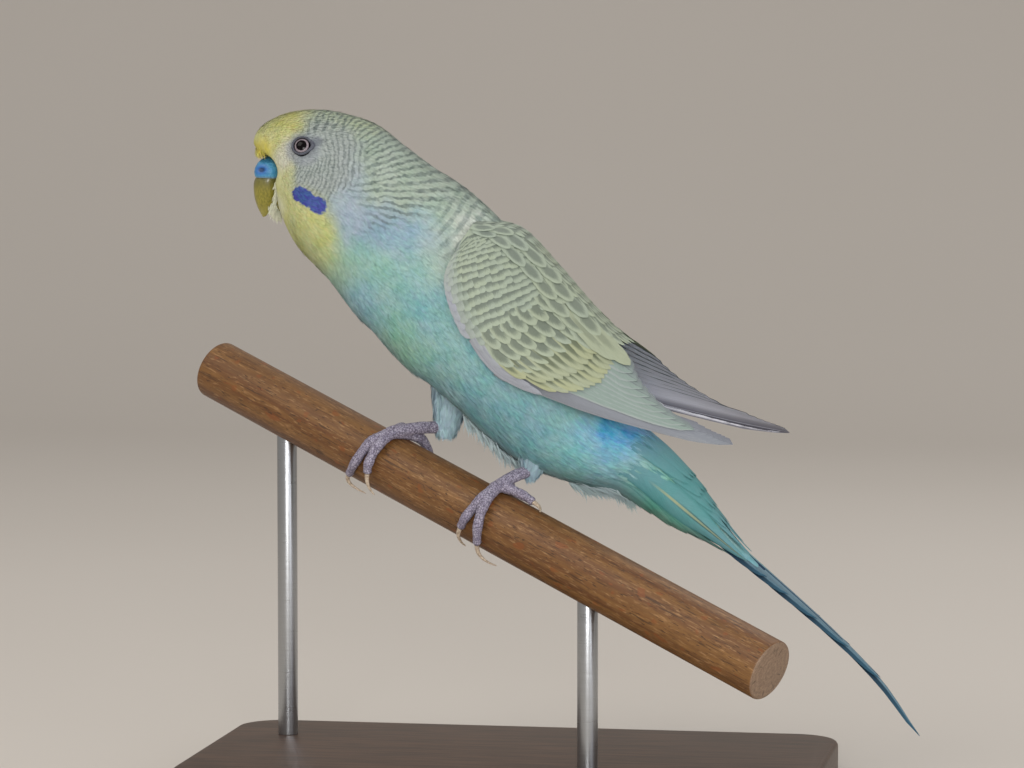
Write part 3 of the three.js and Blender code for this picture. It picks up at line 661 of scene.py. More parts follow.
# %% Tuft shape
def make_tuft(barbs=7, spread=0.86, short=0.35, barb_width=0.17, droop=0.2):
    """One tuft in unit sizes: x across it, y along it, z outwards. Returns its points and faces."""
    bm = bmesh.new()
    for lean in np.linspace(-1, 1, barbs):
        made = bmesh.ops.create_grid(bm, x_segments=1, y_segments=2, size=0.5)["verts"]
        for vert in made:
            across, share = vert.co.x * 2, vert.co.y + 0.5
            half = barb_width * (0.8, 1.0, 0.12)[round(share * 2)]
            aside = spread * lean * (0.25 + 0.75 * share) + across * half
            vert.co = (aside, share * (1 - short * lean * lean), -droop * lean * lean * share)
    points = np.array([v.co[:] for v in bm.verts])
    faces = np.array([[v.index for v in f.verts] for f in bm.faces])
    bm.free()
    return points, faces


tuft = make_tuft()
barb_points = 6
print("one tuft:", len(tuft[0]), "points,", len(tuft[1]) * 2, "triangles")


# %% Laying a coat
def copies_mesh(name, spots, faces):
    """One mesh of many copies of a sheet, one row of points each; returns it and its corners."""
    count, size = spots.shape[:2]
    corners = (faces[None] + np.arange(count)[:, None, None] * size).reshape(-1)
    mesh = bpy.data.meshes.new(name)
    mesh.vertices.add(count * size)
    mesh.vertices.foreach_set("co", (spots * MM).astype(np.float32).reshape(-1))
    mesh.loops.add(len(corners))
    mesh.loops.foreach_set("vertex_index", corners)
    mesh.polygons.add(count * len(faces))
    mesh.polygons.foreach_set("loop_start", np.arange(0, len(corners), faces.shape[1]))
    mesh.update(calc_edges=True)
    return mesh, corners


def add_marks(mesh, label, values):
    """A vector for each point, which a material can read."""
    mesh.attributes.new(label, "FLOAT_VECTOR", "POINT").data.foreach_set("vector", values.reshape(-1))


def add_map(mesh, label, values, corners):
    """A UV map, from a place for each point."""
    layer = mesh.uv_layers.new(name=label)
    layer.data.foreach_set("uv", values.reshape(-1, 2)[corners].astype(np.float32).reshape(-1))


patch_size = 0.003
skin_share = 0.85


def lay_feathers(name, shape, roots, ways, outs, lengths, widths, lifts, curls, places, rng, twist=0.2):
    """Lays copies of one feather shape: each from its root along its way, lifted off the skin."""
    points, faces = shape
    count = len(roots)
    sides = np.cross(ways, outs)
    turn = rng.normal(0, twist, count)[:, None]
    ways = ways * np.cos(turn) + sides * np.sin(turn)
    sides = np.cross(ways, outs)
    lift = lifts[:, None]
    rising = ways * np.cos(lift) + outs * np.sin(lift)
    over = np.cross(sides, rising)
    x, y, z = (points[:, i][None, :, None] for i in range(3))
    spots = roots[:, None] + sides[:, None] * (x * widths[:, None, None] / 2)
    spots = spots + rising[:, None] * (y * lengths[:, None, None])
    spots = spots + over[:, None] * (z * widths[:, None, None] / 2 - (curls * lengths)[:, None, None] * y * y)
    normals = unit(outs * skin_share + over * (1 - skin_share))
    marks = np.empty((count, len(points), 3), np.float32)
    marks[..., 0] = points[:, 1]
    marks[..., 1] = np.repeat(rng.random((count, len(points) // barb_points)), barb_points, axis=1)
    marks[..., 2] = rng.random(count)[:, None]
    uvs = places[:, None] + np.stack([points[:, 0] / 2, points[:, 1] - 0.5], axis=-1)[None] * patch_size
    mesh, corners = copies_mesh(name, spots, faces)
    add_marks(mesh, "tuft", marks)
    add_map(mesh, "OFBake", uvs, corners)
    mesh.shade_smooth()
    mesh.normals_split_custom_set_from_vertices(np.repeat(normals, len(points), axis=0))
    return link_object(name, mesh)


# %% [markdown]
# ## Where the feathers grow
# Feathers are smallest round the bill and grow longer towards the tail. The body's unwrapped sheet is cut
# into small cells, and each cell gets as many roots as its area and the local feather size call for, so the
# cover is even. Roots are left out under the wings, round the eyes, and under the cere and bill.

# %% Feather sizes and bare places
rng = np.random.default_rng(7)
feather_sizes = np.array([
    [0.9, 0.40], [0.9, 0.42], [1.0, 0.45], [1.1, 0.5], [1.3, 0.55], [1.5, 0.6], [1.8, 0.65], [2.0, 0.7],
    [2.2, 0.75], [2.3, 0.8], [2.4, 0.8], [2.5, 0.85], [2.6, 0.85], [2.8, 0.9], [2.9, 0.9], [3.0, 0.95],
    [3.1, 1.0], [3.3, 1.0], [3.6, 1.1], [4.0, 1.2], [4.4, 1.2], [4.6, 1.2], [4.4, 1.1], [4.0, 1.0],
    [3.5, 0.9],
])
cover = 5.2
eye_place = np.array([-43.6, 10.9, 139.3])
bare_round_eye = 2.15
bare_shift, bare_shape = (0.45, 0, 0), (1.1, 2, 1)
wing_cover_side = 6.5


def inside_outline(x, z, outline):
    """Which points of the side view lie inside a closed outline."""
    inside = np.zeros(x.shape, bool)
    for (x1, z1), (x2, z2) in zip(outline, np.roll(outline, -1, axis=0)):
        crosses = (z1 > z) != (z2 > z)
        at = x1 + (z - z1) * (x2 - x1) / np.where(z2 == z1, 1e-9, z2 - z1)
        inside ^= crosses & (x < at)
    return inside


steps = np.linspace(0.06, 0.8, 16)
edges = [wing_point(wing_sides["left"], steps, level)[:, [0, 2]] for level in (0.1, 0.9)]
wing_outline = np.vstack([edges[0], edges[1][::-1]])


def is_bare(spots):
    """Where no body feather grows: round the eyes, at the cere and bill and under the wings."""
    x, y, z = spots[:, 0], np.abs(spots[:, 1]), spots[:, 2]
    from_eye = (np.stack([x, y, z], axis=1) - (eye_place - bare_shift)) / bare_shape
    eye = np.linalg.norm(from_eye, axis=1) < bare_round_eye
    cere = (np.abs(x + 53.2) / 3.4) ** 2.7 + (y / 5.2) ** 2.7 + ((z - 133.8) / 3.1) ** 4 < 1
    bill = (z > 124.0) & (z < 134) & (y < 4.4) & (x < -54.2 + 3.1 * np.clip((z - 123.8) / 5.5, 0, 1) ** 0.6)
    wing = inside_outline(x, z, wing_outline) & (y > wing_cover_side)
    return eye | cere | bill | wing


def scatter(frame_at, size_at, rows, turns, cover):
    """Roots over a sheet: random places with as many in each cell as its area calls for."""
    r, t = np.meshgrid(rows[:-1], turns[:-1], indexing="ij")
    dr, dt = rows[1] - rows[0], turns[1] - turns[0]
    base = frame_at(r, t)[0]
    one = frame_at(r + dr, t)[0] - base
    two = frame_at(r, t + dt)[0] - base
    area = np.linalg.norm(np.cross(one, two), axis=-1)
    sizes = size_at(r)
    wanted = cover * area / (sizes[..., 0] * sizes[..., 1])
    count = np.floor(wanted + rng.random(wanted.shape)).astype(int)
    r, t = np.repeat(r.ravel(), count.ravel()), np.repeat(t.ravel(), count.ravel())
    return r + dr * rng.random(len(r)), t + dt * rng.random(len(t))


# %% Feather material
def make_feather_material(name, tint=None, strength=0.0):
    """Soft feathers in the bird's markings, with painted shade that darkens each tuft towards its root, and
    each a little different.
    """
    material, tree, shader = new_material(name)
    base = use_group(tree, markings, [("Place", object_place(tree))])
    if tint:
        base = mixed(tree, strength, base, colour(tint))
    marks = add_node(tree, "ShaderNodeAttribute", attribute_name="tuft")
    along, barb, whole = axes_of(tree, marks.outputs["Vector"])
    # Painted shade: each tuft is darker towards its root, where it lies under the tufts around it.
    shade = ramp(tree, along, 0.0, 0.6, 0.94, 1.0)
    shade = sums(tree, "MULTIPLY", shade, ramp(tree, barb, 0, 1, 0.88, 1.1, kind="LINEAR"))
    hue = ramp(tree, whole, 0, 1, 0.478, 0.522, kind="LINEAR")
    finish_shader(tree, shader, hue_shifted(tree, base, shade, Hue=hue), {
        "Roughness": 0.7, "Specular IOR Level": 0.25, "Sheen Weight": 0.15, "Sheen Roughness": 0.4})
    return material


body_feathers = make_feather_material("body_feathers")

# %% Body coats
coat_rows = {
    "coat_face": (0.02, 4.0), "coat_head": (4.0, 6.6), "coat_neck": (6.6, 9.4), "coat_breast_1": (9.4, 11.4),
    "coat_breast_2": (11.4, 13.2), "coat_belly_1": (13.2, 15.0), "coat_belly_2": (15.0, 18.0),
    "coat_rump": (18.0, 22.0),
}


def lay_body_coat(name, first, last):
    """Covers one stretch of the body, from a first to a last row."""
    rows = np.linspace(first, last, max(8, int((last - first) * 12)))
    turns = np.linspace(-math.pi, math.pi, 181)
    row, turn = scatter(body_frame, lambda r: smooth_line(feather_sizes, r / last_row), rows, turns, cover)
    spots, ways, outs = body_frame(row, turn)
    spots = spots - outs * face_dent(spots)[:, None]
    grown = ~is_bare(spots)
    row, turn, spots, ways, outs = row[grown], turn[grown], spots[grown], ways[grown], outs[grown]
    sizes = smooth_line(feather_sizes, row / last_row) * rng.uniform(0.8, 1.2, (len(row), 1))
    roots = spots - outs * coat_depth
    outs = unit(outs + rng.normal(0, 0.04, outs.shape))
    lifts = rng.normal(0.10, 0.03, len(row)) * np.interp(row, [5, 8, 18, 21], [1.7, 1, 1, 0.8])
    curls = rng.normal(0.05, 0.02, len(row))
    places = np.stack([0.01 + 0.98 * row / last_row, 0.01 + 0.98 * (turn / (2 * math.pi) + 0.5)], axis=1)
    piece = lay_feathers(name, tuft, roots, ways, outs, sizes[:, 0], sizes[:, 1], lifts, curls, places, rng,
                         twist=0.14)
    piece.data.materials.append(body_feathers)
    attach(piece, "root")
    print(name, len(row), "tufts")
    return piece


for coat_name, (first, last) in coat_rows.items():
    lay_body_coat(coat_name, first, last)

# %% Thigh coats
thigh_feathers = make_feather_material("thigh_feathers", "b8d0dc", 0.75)


def lay_thigh(name, thigh, count):
    """Soft feathers that hang down a thigh, longest near the hip."""
    share, turn = rng.random(count) ** 0.8 * 0.97, rng.uniform(-math.pi, math.pi, count)
    spots = thigh_point(thigh, turn, share, -0.5)
    ways = thigh_point(thigh, turn, np.minimum(share + 0.05, 1.05), -0.5) - spots
    ways = unit(ways + rng.normal(0, 0.04, ways.shape) * (1, 1, 0))
    outs = square_to(np.stack([np.cos(turn), np.sin(turn), 0.15 + 0 * turn], axis=1), ways)
    lengths = (3.6 - 1.6 * share) * rng.uniform(0.7, 1.5, count)
    places = np.stack([0.02 + 0.9 * share, 0.5 + turn / 7], axis=1)
    lifts = rng.normal(0.12, 0.05, count)
    piece = lay_feathers(name, tuft, spots, ways, outs, lengths, np.full(count, 1.1), lifts,
                         np.full(count, 0.08), places, rng)
    piece.data.materials.append(thigh_feathers)
    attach(piece, "root")


for side_name, thigh in thighs.items():
    lay_thigh(f"coat_thigh_{side_name}", thigh, 1500)

# %% Wisps
wisp_feathers = make_feather_material("wisp_feathers", "bcc8ca", 0.75)


def lay_wisps(name, patches):
    """Loose white wisps that stand off the belly: each patch is two rows, a turn, its spread and a count."""
    parts = []
    for first, last, turn, spread, count in patches:
        parts.append(np.stack([rng.uniform(first, last, count), rng.normal(turn, spread, count)], axis=1))
    row, turn = np.vstack(parts).T
    spots, ways, outs = body_frame(row, turn)
    lengths = rng.uniform(2.2, 4.2, len(row))
    ways = unit(ways + outs * rng.uniform(0.25, 0.8, (len(row), 1)))
    aside = np.where(turn > math.pi, -0.9, 0.9)[:, None] * np.array([0.0, 1.0, 0.0])
    outs = square_to(0.35 * outs + aside, ways)
    places = np.stack([0.01 + 0.98 * row / last_row, 0.01 + 0.98 * (turn / (2 * math.pi) % 1)], axis=1)
    lifts = rng.uniform(0.0, 0.2, len(row))
    curls = rng.uniform(0.0, 0.1, len(row))
    piece = lay_feathers(name, tuft, spots - ways * coat_depth, ways, outs, lengths,
                         np.full(len(row), 0.32), lifts, curls, places, rng, twist=0.25)
    piece.data.materials.append(wisp_feathers)
    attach(piece, "root")


wisp_patches = [
    (14.2, 16.2, 3.22, 0.14, 360), (17.6, 19.1, 3.25, 0.18, 300), (19.1, 19.6, 3.2, 0.15, 120),
]
lay_wisps("coat_wisps", wisp_patches)

# %% [markdown]
# ## Vanes
# Larger feathers are vanes: a narrow shaft with a web on each side, rounded on the wing's coverts and pointed
# on its flights. One flat grid is shaped into every vane, row by row, by a function that knows where the
# feather lies, and its edge is made slightly ragged. Each vane gets its own cell in the map for baking.

# %% Vane grid
def make_vane_grid(wide=4, long=18):
    """A flat grid: across from -1 to 1 and a share from 0 to 1. Returns both and the faces."""
    bm = bmesh.new()
    bmesh.ops.create_grid(bm, x_segments=wide, y_segments=long, size=0.5)
    flat = np.array([v.co[:] for v in bm.verts])
    faces = np.array([[v.index for v in f.verts] for f in bm.faces])
    bm.free()
    return flat[:, 0] * 2, flat[:, 1] + 0.5, faces


vane_across, vane_share, vane_faces = make_vane_grid()


def vane_width(share, start, root=0.55, tip=0.06):
    """Half of a vane's width as a share of its widest: it widens to a start and then rounds off."""
    growing = root + (1 - root) * np.clip(share / start, 0, 1) ** 0.7
    end = np.clip((share - start) / (1 - start), 0, 1)
    return growing * np.maximum(np.sqrt(np.clip(1 - end * end, 0, 1)), tip)


def lay_vanes(name, spots, looks, tints, material, outward):
    """One mesh of many vanes: spots are points in millimetres, looks and tints one row for each vane."""
    count, size = spots.shape[:2]
    first, second, _, fourth = (spots[:, vane_faces[:, i]] for i in range(4))
    facing = np.sum(np.sum(np.cross(second - first, fourth - first), axis=1) * outward)
    order = vane_faces if facing > 0 else vane_faces[:, ::-1]
    mesh, corners = copies_mesh(name, spots, order)
    for label, rows in (("look", looks), ("tint", tints)):
        add_marks(mesh, label, np.repeat(np.asarray(rows, np.float32), size, axis=0))
    web = np.stack([vane_across / 2 + 0.5, vane_share], axis=-1)
    cells = math.ceil(math.sqrt(count))
    place = np.stack(np.divmod(np.arange(count), cells), axis=-1)[:, None]
    baked = (place + 0.05 + 0.9 * web[None]) / cells
    add_map(mesh, "vane", np.broadcast_to(web[None], baked.shape), corners)
    add_map(mesh, "OFBake", baked, corners)
    mesh.uv_layers.active = mesh.uv_layers["OFBake"]
    mesh.shade_smooth()
    mesh.materials.append(material)
    piece = link_object(name, mesh)
    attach(piece, "root")
    print(name, count, "vanes,", count * len(vane_faces) * 2, "triangles")
    return piece


# %% [markdown]
# ## The wing's feathers
# Tiers of small coverts cover the fore part of the wing, each with a dark middle and a pale yellow rim. Then
# come rounded scallops, narrow greater coverts whose tips form one yellow arc, long ovals along the back, a
# lilac strip along the front edge and the long flights. Tables hold each feather's root and tip on the wing.

# %% Wing tables
# One row is one feather: root u and v, tip u and v, width in mm, rise at its root and tip, tilt, where its
# tip starts to round, then its look (width, centre and length of its dark middle) and its tint (strength of
# the middle, 0 for the yellow rim to 1 for lilac, a random value).
wing_rng = np.random.default_rng(21)
look_columns, tint_columns = slice(9, 12), slice(12, 15)


def covert_row(root, tip, width, rise, look, tint, tilt=0.10, start=0.62, sunk=-0.1):
    """One row of the table, closed with its random value."""
    return [*root, *tip, width, sunk, rise, tilt, start, *look, *tint, wing_rng.random()]


def lesser_coverts():
    """Small coverts in staggered tiers that slant forwards near the shoulder."""
    rows = []
    for tier, tip in enumerate(np.linspace(0.04, 0.37, 15)):
        count = 14
        slant = 0.16 * (1 - tip / 0.45)
        for i in range(count):
            v = 0.05 + 0.88 * (i + 0.5 * (tier % 2) + wing_rng.uniform(-0.12, 0.12)) / count
            end = tip + slant * (0.5 - v) + wing_rng.uniform(-0.004, 0.004)
            front = max(0.0, min(1.0, (v - 0.75) / 0.15))
            tint = (0.85 * (1 - 0.75 * front), 0.4 + 0.3 * front)
            rows.append(covert_row((max(0.0, end - 0.1), v), (max(0.03, end), v), 3.0, 0.30,
                                   (2.6, 0.66, 0.23), tint, tilt=0.04, start=0.88))
    return rows


def median_coverts():
    """Three tiers of broad rounded scallops."""
    rows = []
    for tip, count, shift in ((0.405, 8, 0.0), (0.46, 8, 0.5), (0.515, 8, 0.0)):
        for i in range(count):
            v = 0.10 + 0.76 * (i + shift + wing_rng.uniform(-0.1, 0.1)) / count
            end = tip + wing_rng.uniform(-0.008, 0.008) - 0.07 * max(0, v - 0.7)
            rows.append(covert_row((end - 0.13, v), (end, v), 3.9, 0.45, (0.78, 0.60, 0.30),
                                   (0.85, 0.3), start=0.55))
    return rows


def greater_coverts():
    """Narrow feathers that fan out to one arc of yellow tips."""
    rows = []
    arc_v = [0.05, 0.12, 0.42, 0.65, 0.825, 0.88, 0.95]
    arc_u = [0.585, 0.625, 0.648, 0.636, 0.612, 0.545, 0.48]
    for layer, (count, back) in enumerate(((12, 0.0), (11, 0.055))):
        for i in range(count):
            v = 0.08 + 0.82 * (i + 0.5 * layer + wing_rng.uniform(-0.08, 0.08)) / count
            end = float(np.interp(v, arc_v, arc_u)) - back
            rows.append(covert_row((end - 0.19, v * 0.96), (end, v), 2.7, 0.5 + 0.1 * layer,
                                   (0.6, 0.55, 0.34), (0.95, 0.0), start=0.8))
    return rows


def back_ovals():
    """Scapulars and tertials: two columns of ovals along the back edge, which grow towards the tail."""
    rows = []
    for i, u in enumerate(np.linspace(0.08, 0.60, 17)):
        v = (0.04, 0.15)[i % 2] + wing_rng.uniform(-0.015, 0.015)
        size = 0.75 + 0.6 * u
        rows.append(covert_row((u - 0.12 * size, v + 0.01), (u, v), 3.1 * size, 0.62, (0.72, 0.58, 0.36),
                               (0.75, 0.5 - 0.4 * u), start=0.55, sunk=0.2))
    for end, v in ((0.62, 0.13), (0.655, 0.06)):
        rows.append(covert_row((end - 0.2, v), (end, v - 0.02), 3.6, 0.9, (0.5, 0.4, 0.35), (0.45, 0.1),
                               start=0.6, sunk=0.3))
    return rows


def front_strip():
    """Lilac feathers along the front edge, short at the shoulder and long over the hand."""
    rows = []
    for i in range(10):
        end = 0.07 + 0.028 * i
        lilac = min(1.0, 0.4 + 2.5 * end)
        rows.append(covert_row((end - 0.08, 0.97), (end, 0.95), 2.4, 0.3, (0.5, 0.5, 0.3), (0.25, lilac)))
    hand = [(0.585, 0.965, 0.26, 2.4), (0.55, 0.93, 0.26, 2.2), (0.50, 0.905, 0.22, 2.0),
            (0.44, 0.90, 0.2, 2.0), (0.37, 0.915, 0.14, 2.0)]
    for end, v, length, width in hand:
        rows.append(covert_row((end - length, v - 0.02), (end, v), width, 0.35, (0.4, 0.5, 0.45), (0.25, 1.0),
                               start=0.8))
    return rows


def vane_points(place, rows, span=None):
    """The points of vanes on a surface: place(u, v, rise) gives it, span its width from v of 0 to 1."""
    rows = np.asarray(rows)
    u0, v0, u1, v1, width, low, high, tilt, start = (rows[:, i][:, None] for i in range(9))
    across, share = vane_across[None], vane_share[None]
    ragged = wing_rng.uniform(0.9, 1.0, (len(rows), len(vane_across)))
    half = width / 2 * vane_width(share, start) * np.where(np.abs(across) > 0.9, ragged, 1)
    u = u0 + (u1 - u0) * share
    if span is None:
        span = np.linalg.norm(place(u, 0 * u, 0 * u) - place(u, 0 * u + 1, 0 * u), axis=-1)
    v = v0 + (v1 - v0) * share ** 1.4 + across * half / span
    rise = low + (high - low) * share ** 0.8 + tilt * across * half - 0.10 * across**2 * half
    return place(u, v, rise)


# %% Flights
flight_root = 0.44
primary_count, secondary_count = 8, 9


def flight_row(tip, root_v, tip_v, width, rise, start, outer, primary):
    """One long feather: outer is 1 for the outermost primary, primary 1 for each of them."""
    return [flight_root, root_v, tip, tip_v, width, -0.6, rise, 0.06, start, 0.0, 0.0, 0.0,
            outer, primary, wing_rng.random()]


def flight_rows():
    """Primaries along the lower edge to the wing's tip, and the secondaries' panel over them."""
    rows = []
    for share in np.linspace(0, 1, primary_count):
        rows.append(flight_row(1.0 - 0.12 * share**1.5, 0.97 - 0.12 * share, 0.62 - 0.30 * share, 4.0,
                               0.05 + 0.12 * share, 0.92, max(0.0, 1 - 2.5 * share), 1.0))
    for share in np.linspace(0, 1, secondary_count):
        rows.append(flight_row(0.865 - 0.19 * share, 0.78 - 0.68 * share, 0.42 - 0.34 * share, 4.6,
                               0.45 + 0.25 * share, 0.78, 0.0, 0.0))
    return rows


# %% Wing materials
def vane_parts(tree):
    """What vane materials read: across (0 to 1 from the shaft), side, share, look and tint."""
    web = add_node(tree, "ShaderNodeUVMap", uv_map="vane")
    axes = axes_of(tree, web.outputs[0])
    side = sums(tree, "SUBTRACT", sums(tree, "MULTIPLY", axes[0], 2.0), 1.0)
    parts = {"side": side, "across": sums(tree, "ABSOLUTE", side), "share": axes[1]}
    for label in ("look", "tint"):
        read = add_node(tree, "ShaderNodeAttribute", attribute_name=label)
        parts[label] = axes_of(tree, read.outputs["Vector"])
    return parts


def barb_streaks(tree, parts, lines=38.0, slope=0.35):
    """Fine streaks that run from the shaft out and towards the tip, like barbs."""
    along = sums(tree, "SUBTRACT", parts["share"], sums(tree, "MULTIPLY", parts["across"], slope))
    fine = vector_of(tree, sums(tree, "MULTIPLY", along, lines), sums(tree, "MULTIPLY", parts["across"], 1.5),
                     sums(tree, "MULTIPLY", parts["tint"][2], 40.0))
    return noise(tree, fine, 1.6, detail=3.0, rough=0.6)


def finish_feather(tree, shader, base, streaks, height=0.00012):
    """Joins a feather's colour and its streaks to the shader."""
    shade = ramp(tree, streaks, 0.25, 0.75, 0.86, 1.10, kind="LINEAR")
    values = {"Roughness": 0.6, "Specular IOR Level": 0.3}
    finish_shader(tree, shader, hue_shifted(tree, base, shade), values, streaks, 0.5, height)


def length_of(tree, one, two):
    """The length of two sides that stand square to each other."""
    squares = [sums(tree, "POWER", side, 2.0) for side in (one, two)]
    return sums(tree, "SQRT", sums(tree, "ADD", *squares))


def make_covert_material():
    """A dark olive middle in a pale rim, which runs from yellow to lilac."""
    material, tree, shader = new_material("covert_feathers")
    parts = vane_parts(tree)
    streaks = barb_streaks(tree, parts)
    wobble = sums(tree, "MULTIPLY", sums(tree, "SUBTRACT", streaks, 0.5), 0.7)
    wide = sums(tree, "DIVIDE", parts["across"], parts["look"][0])
    long = sums(tree, "DIVIDE", sums(tree, "SUBTRACT", parts["share"], parts["look"][1]), parts["look"][2])
    middle = ramp(tree, sums(tree, "ADD", length_of(tree, wide, long), wobble), 0.5, 1.15, 1.0, 0.0)
    middle = sums(tree, "MULTIPLY", middle, parts["tint"][0])
    early = ramp(tree, parts["tint"][1], 0.0, 0.5, kind="LINEAR")
    late = ramp(tree, parts["tint"][1], 0.5, 1.0, kind="LINEAR")
    rim = mixed(tree, late, mixed(tree, early, colour("a8ac86"), colour("a5b29f")), colour("9fa1ab"))
    dark = mixed(tree, late, mixed(tree, early, colour("68705a"), colour("69736c")), colour("75767f"))
    warm = ramp(tree, parts["tint"][2], 0.0, 1.0, 0.0, 0.4, kind="LINEAR")
    rim = mixed(tree, warm, rim, colour("9ba79d"))
    finish_feather(tree, shader, mixed(tree, middle, rim, dark), streaks)
    return material


def make_flight_material(name, primary, secondary, edge, dark, inner_edge, tint_axis):
    """Long feathers: webs with a pale edge, a shaft and a shaded inner web.

    The tint's axis 1 colours every primary, and its axis 0 only the outermost ones.
    """
    material, tree, shader = new_material(name)
    parts = vane_parts(tree)
    streaks = barb_streaks(tree, parts, lines=90.0, slope=0.16)
    base = mixed(tree, parts["tint"][tint_axis], colour(secondary), colour(primary))
    inner = ramp(tree, parts["side"], -0.9, 0.4, 0.55, 0.0)
    base = mixed(tree, inner, base, colour(dark))
    strength = ramp(tree, parts["tint"][1], 0, 1, 0.45, 0.2)
    rim = sums(tree, "MULTIPLY", ramp(tree, parts["side"], 0.62, 0.9), strength)
    base = mixed(tree, rim, base, colour(edge))
    back = ramp(tree, parts["side"], -0.9, -0.7, inner_edge, 0.0)
    base = mixed(tree, back, base, colour(edge))
    shaft = ramp(tree, parts["across"], 0.03, 0.09, 0.55, 0.0)
    base = mixed(tree, shaft, base, colour(dark))
    finish_feather(tree, shader, base, streaks, 0.00008)
    return material


covert_material = make_covert_material()
top_flights = make_flight_material("top_flights", "84888f", "8a9a92", "a9adad", "686972", 0.0, 1)
# The under layer shows as the far wing's underside. Its near-white secondaries and pale edges are partly the
# feathers' own pale lilac and partly painted light, made lighter for a face that the lamps hardly reach.
under_flights_painted_light = make_flight_material("under_flights_painted_light", "4d4b54", "f4f2f9", "dcdae3", "bdbbc6", 0.2, 0)

# %% Dress the wings
for side_name, wing in wing_sides.items():
    small = lesser_coverts() + median_coverts() + greater_coverts() + back_ovals() + front_strip()
    long = flight_rows()
    pieces = [("coverts", small, covert_material, 0.0, 1), ("flights", long, top_flights, 0.0, 1),
              ("under_flights_painted_light", long, under_flights_painted_light, 0.22, -1)]
    for label, rows, material, below, facing in pieces:
        table = np.asarray(rows)
        place = lambda u, v, rise: wing_point(wing, np.clip(u, 0, 1), np.clip(v, -0.04, 1.04), below - rise)
        lay_vanes(f"{label}_{side_name}", vane_points(place, table), table[:, look_columns],
                  table[:, tint_columns], material, (0, facing * wing["side"], 0))

# %% [markdown]
# ## The back between the wings
# Long shoulder feathers close the gap between the folded wings. They lie on a saddle that arches from one
# wing's back edge to the other's: barred and small in front, broad dark ovals with pale rims further back.

# %% Saddle
def saddle_point(u, w, rise):
    """A place on the back: u from the shoulders to the tail, w from -1 on the left to 1 on the right."""
    share = np.clip(w, -1, 1) * 0.5 + 0.5
    left = wing_point(wing_sides["left"], u, 0.02)
    right = wing_point(wing_sides["right"], u, 0.02)
    spot = left * (1 - share)[..., None] + right * share[..., None]
    up = np.array([0.55, 0.0, 0.835])
    return spot + up * (1.1 * (1 - np.clip(w, -1, 1) ** 4) + 0.1 + rise)[..., None]


def saddle_rows():
    """Tiers of shoulder feathers: five barred ones in front, then ovals."""
    rows = []
    for tier, end in enumerate(np.linspace(0.06, 0.60, 15)):
        count = 6
        fore = end < 0.24
        for i in range(count):
            w = -0.98 + 1.96 * (i + 0.5 * (tier % 2) + wing_rng.uniform(-0.15, 0.15)) / (count - 0.5)
            look = (2.4, 0.6, 0.2) if fore else (0.75, 0.55, 0.4)
            rows.append(covert_row((end - 0.12, w), (end, w * 1.02), 3.0 if fore else 3.8, 0.32, look,
                                   (0.75, 0.45 if fore else 0.3), tilt=0.0, start=0.6))
    return rows


saddle = np.asarray(saddle_rows())
saddle_width = 9.0
lay_vanes("coat_back", vane_points(saddle_point, saddle, saddle_width), saddle[:, look_columns],
          saddle[:, tint_columns], covert_material, (0.5, 0, 0.8))

# %% [markdown]
# ## The tail
# Twelve long feathers lie one under the other and taper to a fine point. They follow the solids' tail line,
# the middle pair longest, each pair below a little shorter and wider spread. Pale blue webs have a dark navy
# edge, partly their own colour and partly painted shade where each web slopes down.

# %% Tail coverts
def tail_root_point(row, v, rise):
    """A place on the tail's root: a body row and a share of the way round, half on the belly."""
    return body_point(np.clip(row, 0, last_row), v * 2 * math.pi, rise)


def tail_covert_rows():
    """Long feathers that close the tail's root: green below, turquoise above, one long pair on the sides."""
    rows = []
    tiers = [(20.3, 7, 3.4), (21.0, 7, 3.2), (21.7, 6, 3.0), (22.3, 5, 2.8), (22.9, 4, 2.4), (23.3, 3, 2.0)]
    for tier, (end, count, width) in enumerate(tiers):
        for middle, spread, high in ((0.5, 0.17, 0.0), (0.0, 0.16, 1.0)):
            for i in range(count):
                v = middle + spread * ((2 * i + 1) / count - 1) + wing_rng.uniform(-0.01, 0.01)
                tip = middle + (v - middle) * 0.8
                rows.append([end - 2.2, v, end + 0.2 * high, tip, width, -0.5, 0.35 - 0.07 * tier, 0.0, 0.45,
                             0.0, 0.0, 0.0, 0.0, high, wing_rng.random()])
    for v in (-0.25, 0.25):
        rows.append([18.6, v * 0.98, 23.6, v, 3.4, -0.6, 0.45, 0.0, 0.5, 0.0, 0.0, 0.0, 1.0, 1.0, 0.5])
    return np.array(rows)


def make_tail_covert_material():
    """The body's own colours on long smooth webs; the side pair has a yellow shaft between dark lines."""
    material, tree, shader = new_material("tail_coverts")
    base = use_group(tree, markings, [("Place", object_place(tree))])
    parts = vane_parts(tree)
    streaks = barb_streaks(tree, parts, lines=70.0, slope=0.2)
    base = mixed(tree, sums(tree, "MULTIPLY", parts["tint"][1], 0.6), base, colour("5590a0"))
    base = mixed(tree, 0.25, base, colour("33605e"))
    edge = ramp(tree, parts["across"], 0.7, 1.0, 0.0, 0.5)
    base = mixed(tree, edge, base, colour("3f7f7c"))
    line = sums(tree, "MULTIPLY", ramp(tree, parts["across"], 0.05, 0.11, 1.0, 0.0), parts["tint"][0])
    line = sums(tree, "MULTIPLY", line, ramp(tree, parts["share"], 0.15, 0.4))
    dark = sums(tree, "MULTIPLY", ramp(tree, parts["across"], 0.13, 0.22, 0.8, 0.0), parts["tint"][0])
    dark = sums(tree, "MULTIPLY", dark, ramp(tree, parts["share"], 0.3, 0.7))
    base = mixed(tree, dark, base, colour("2f4a48"))
    base = mixed(tree, line, base, mixed(tree, parts["share"], colour("b5b98f"), colour("6f8474")))
    finish_feather(tree, shader, base, streaks, 0.00006)
    return material


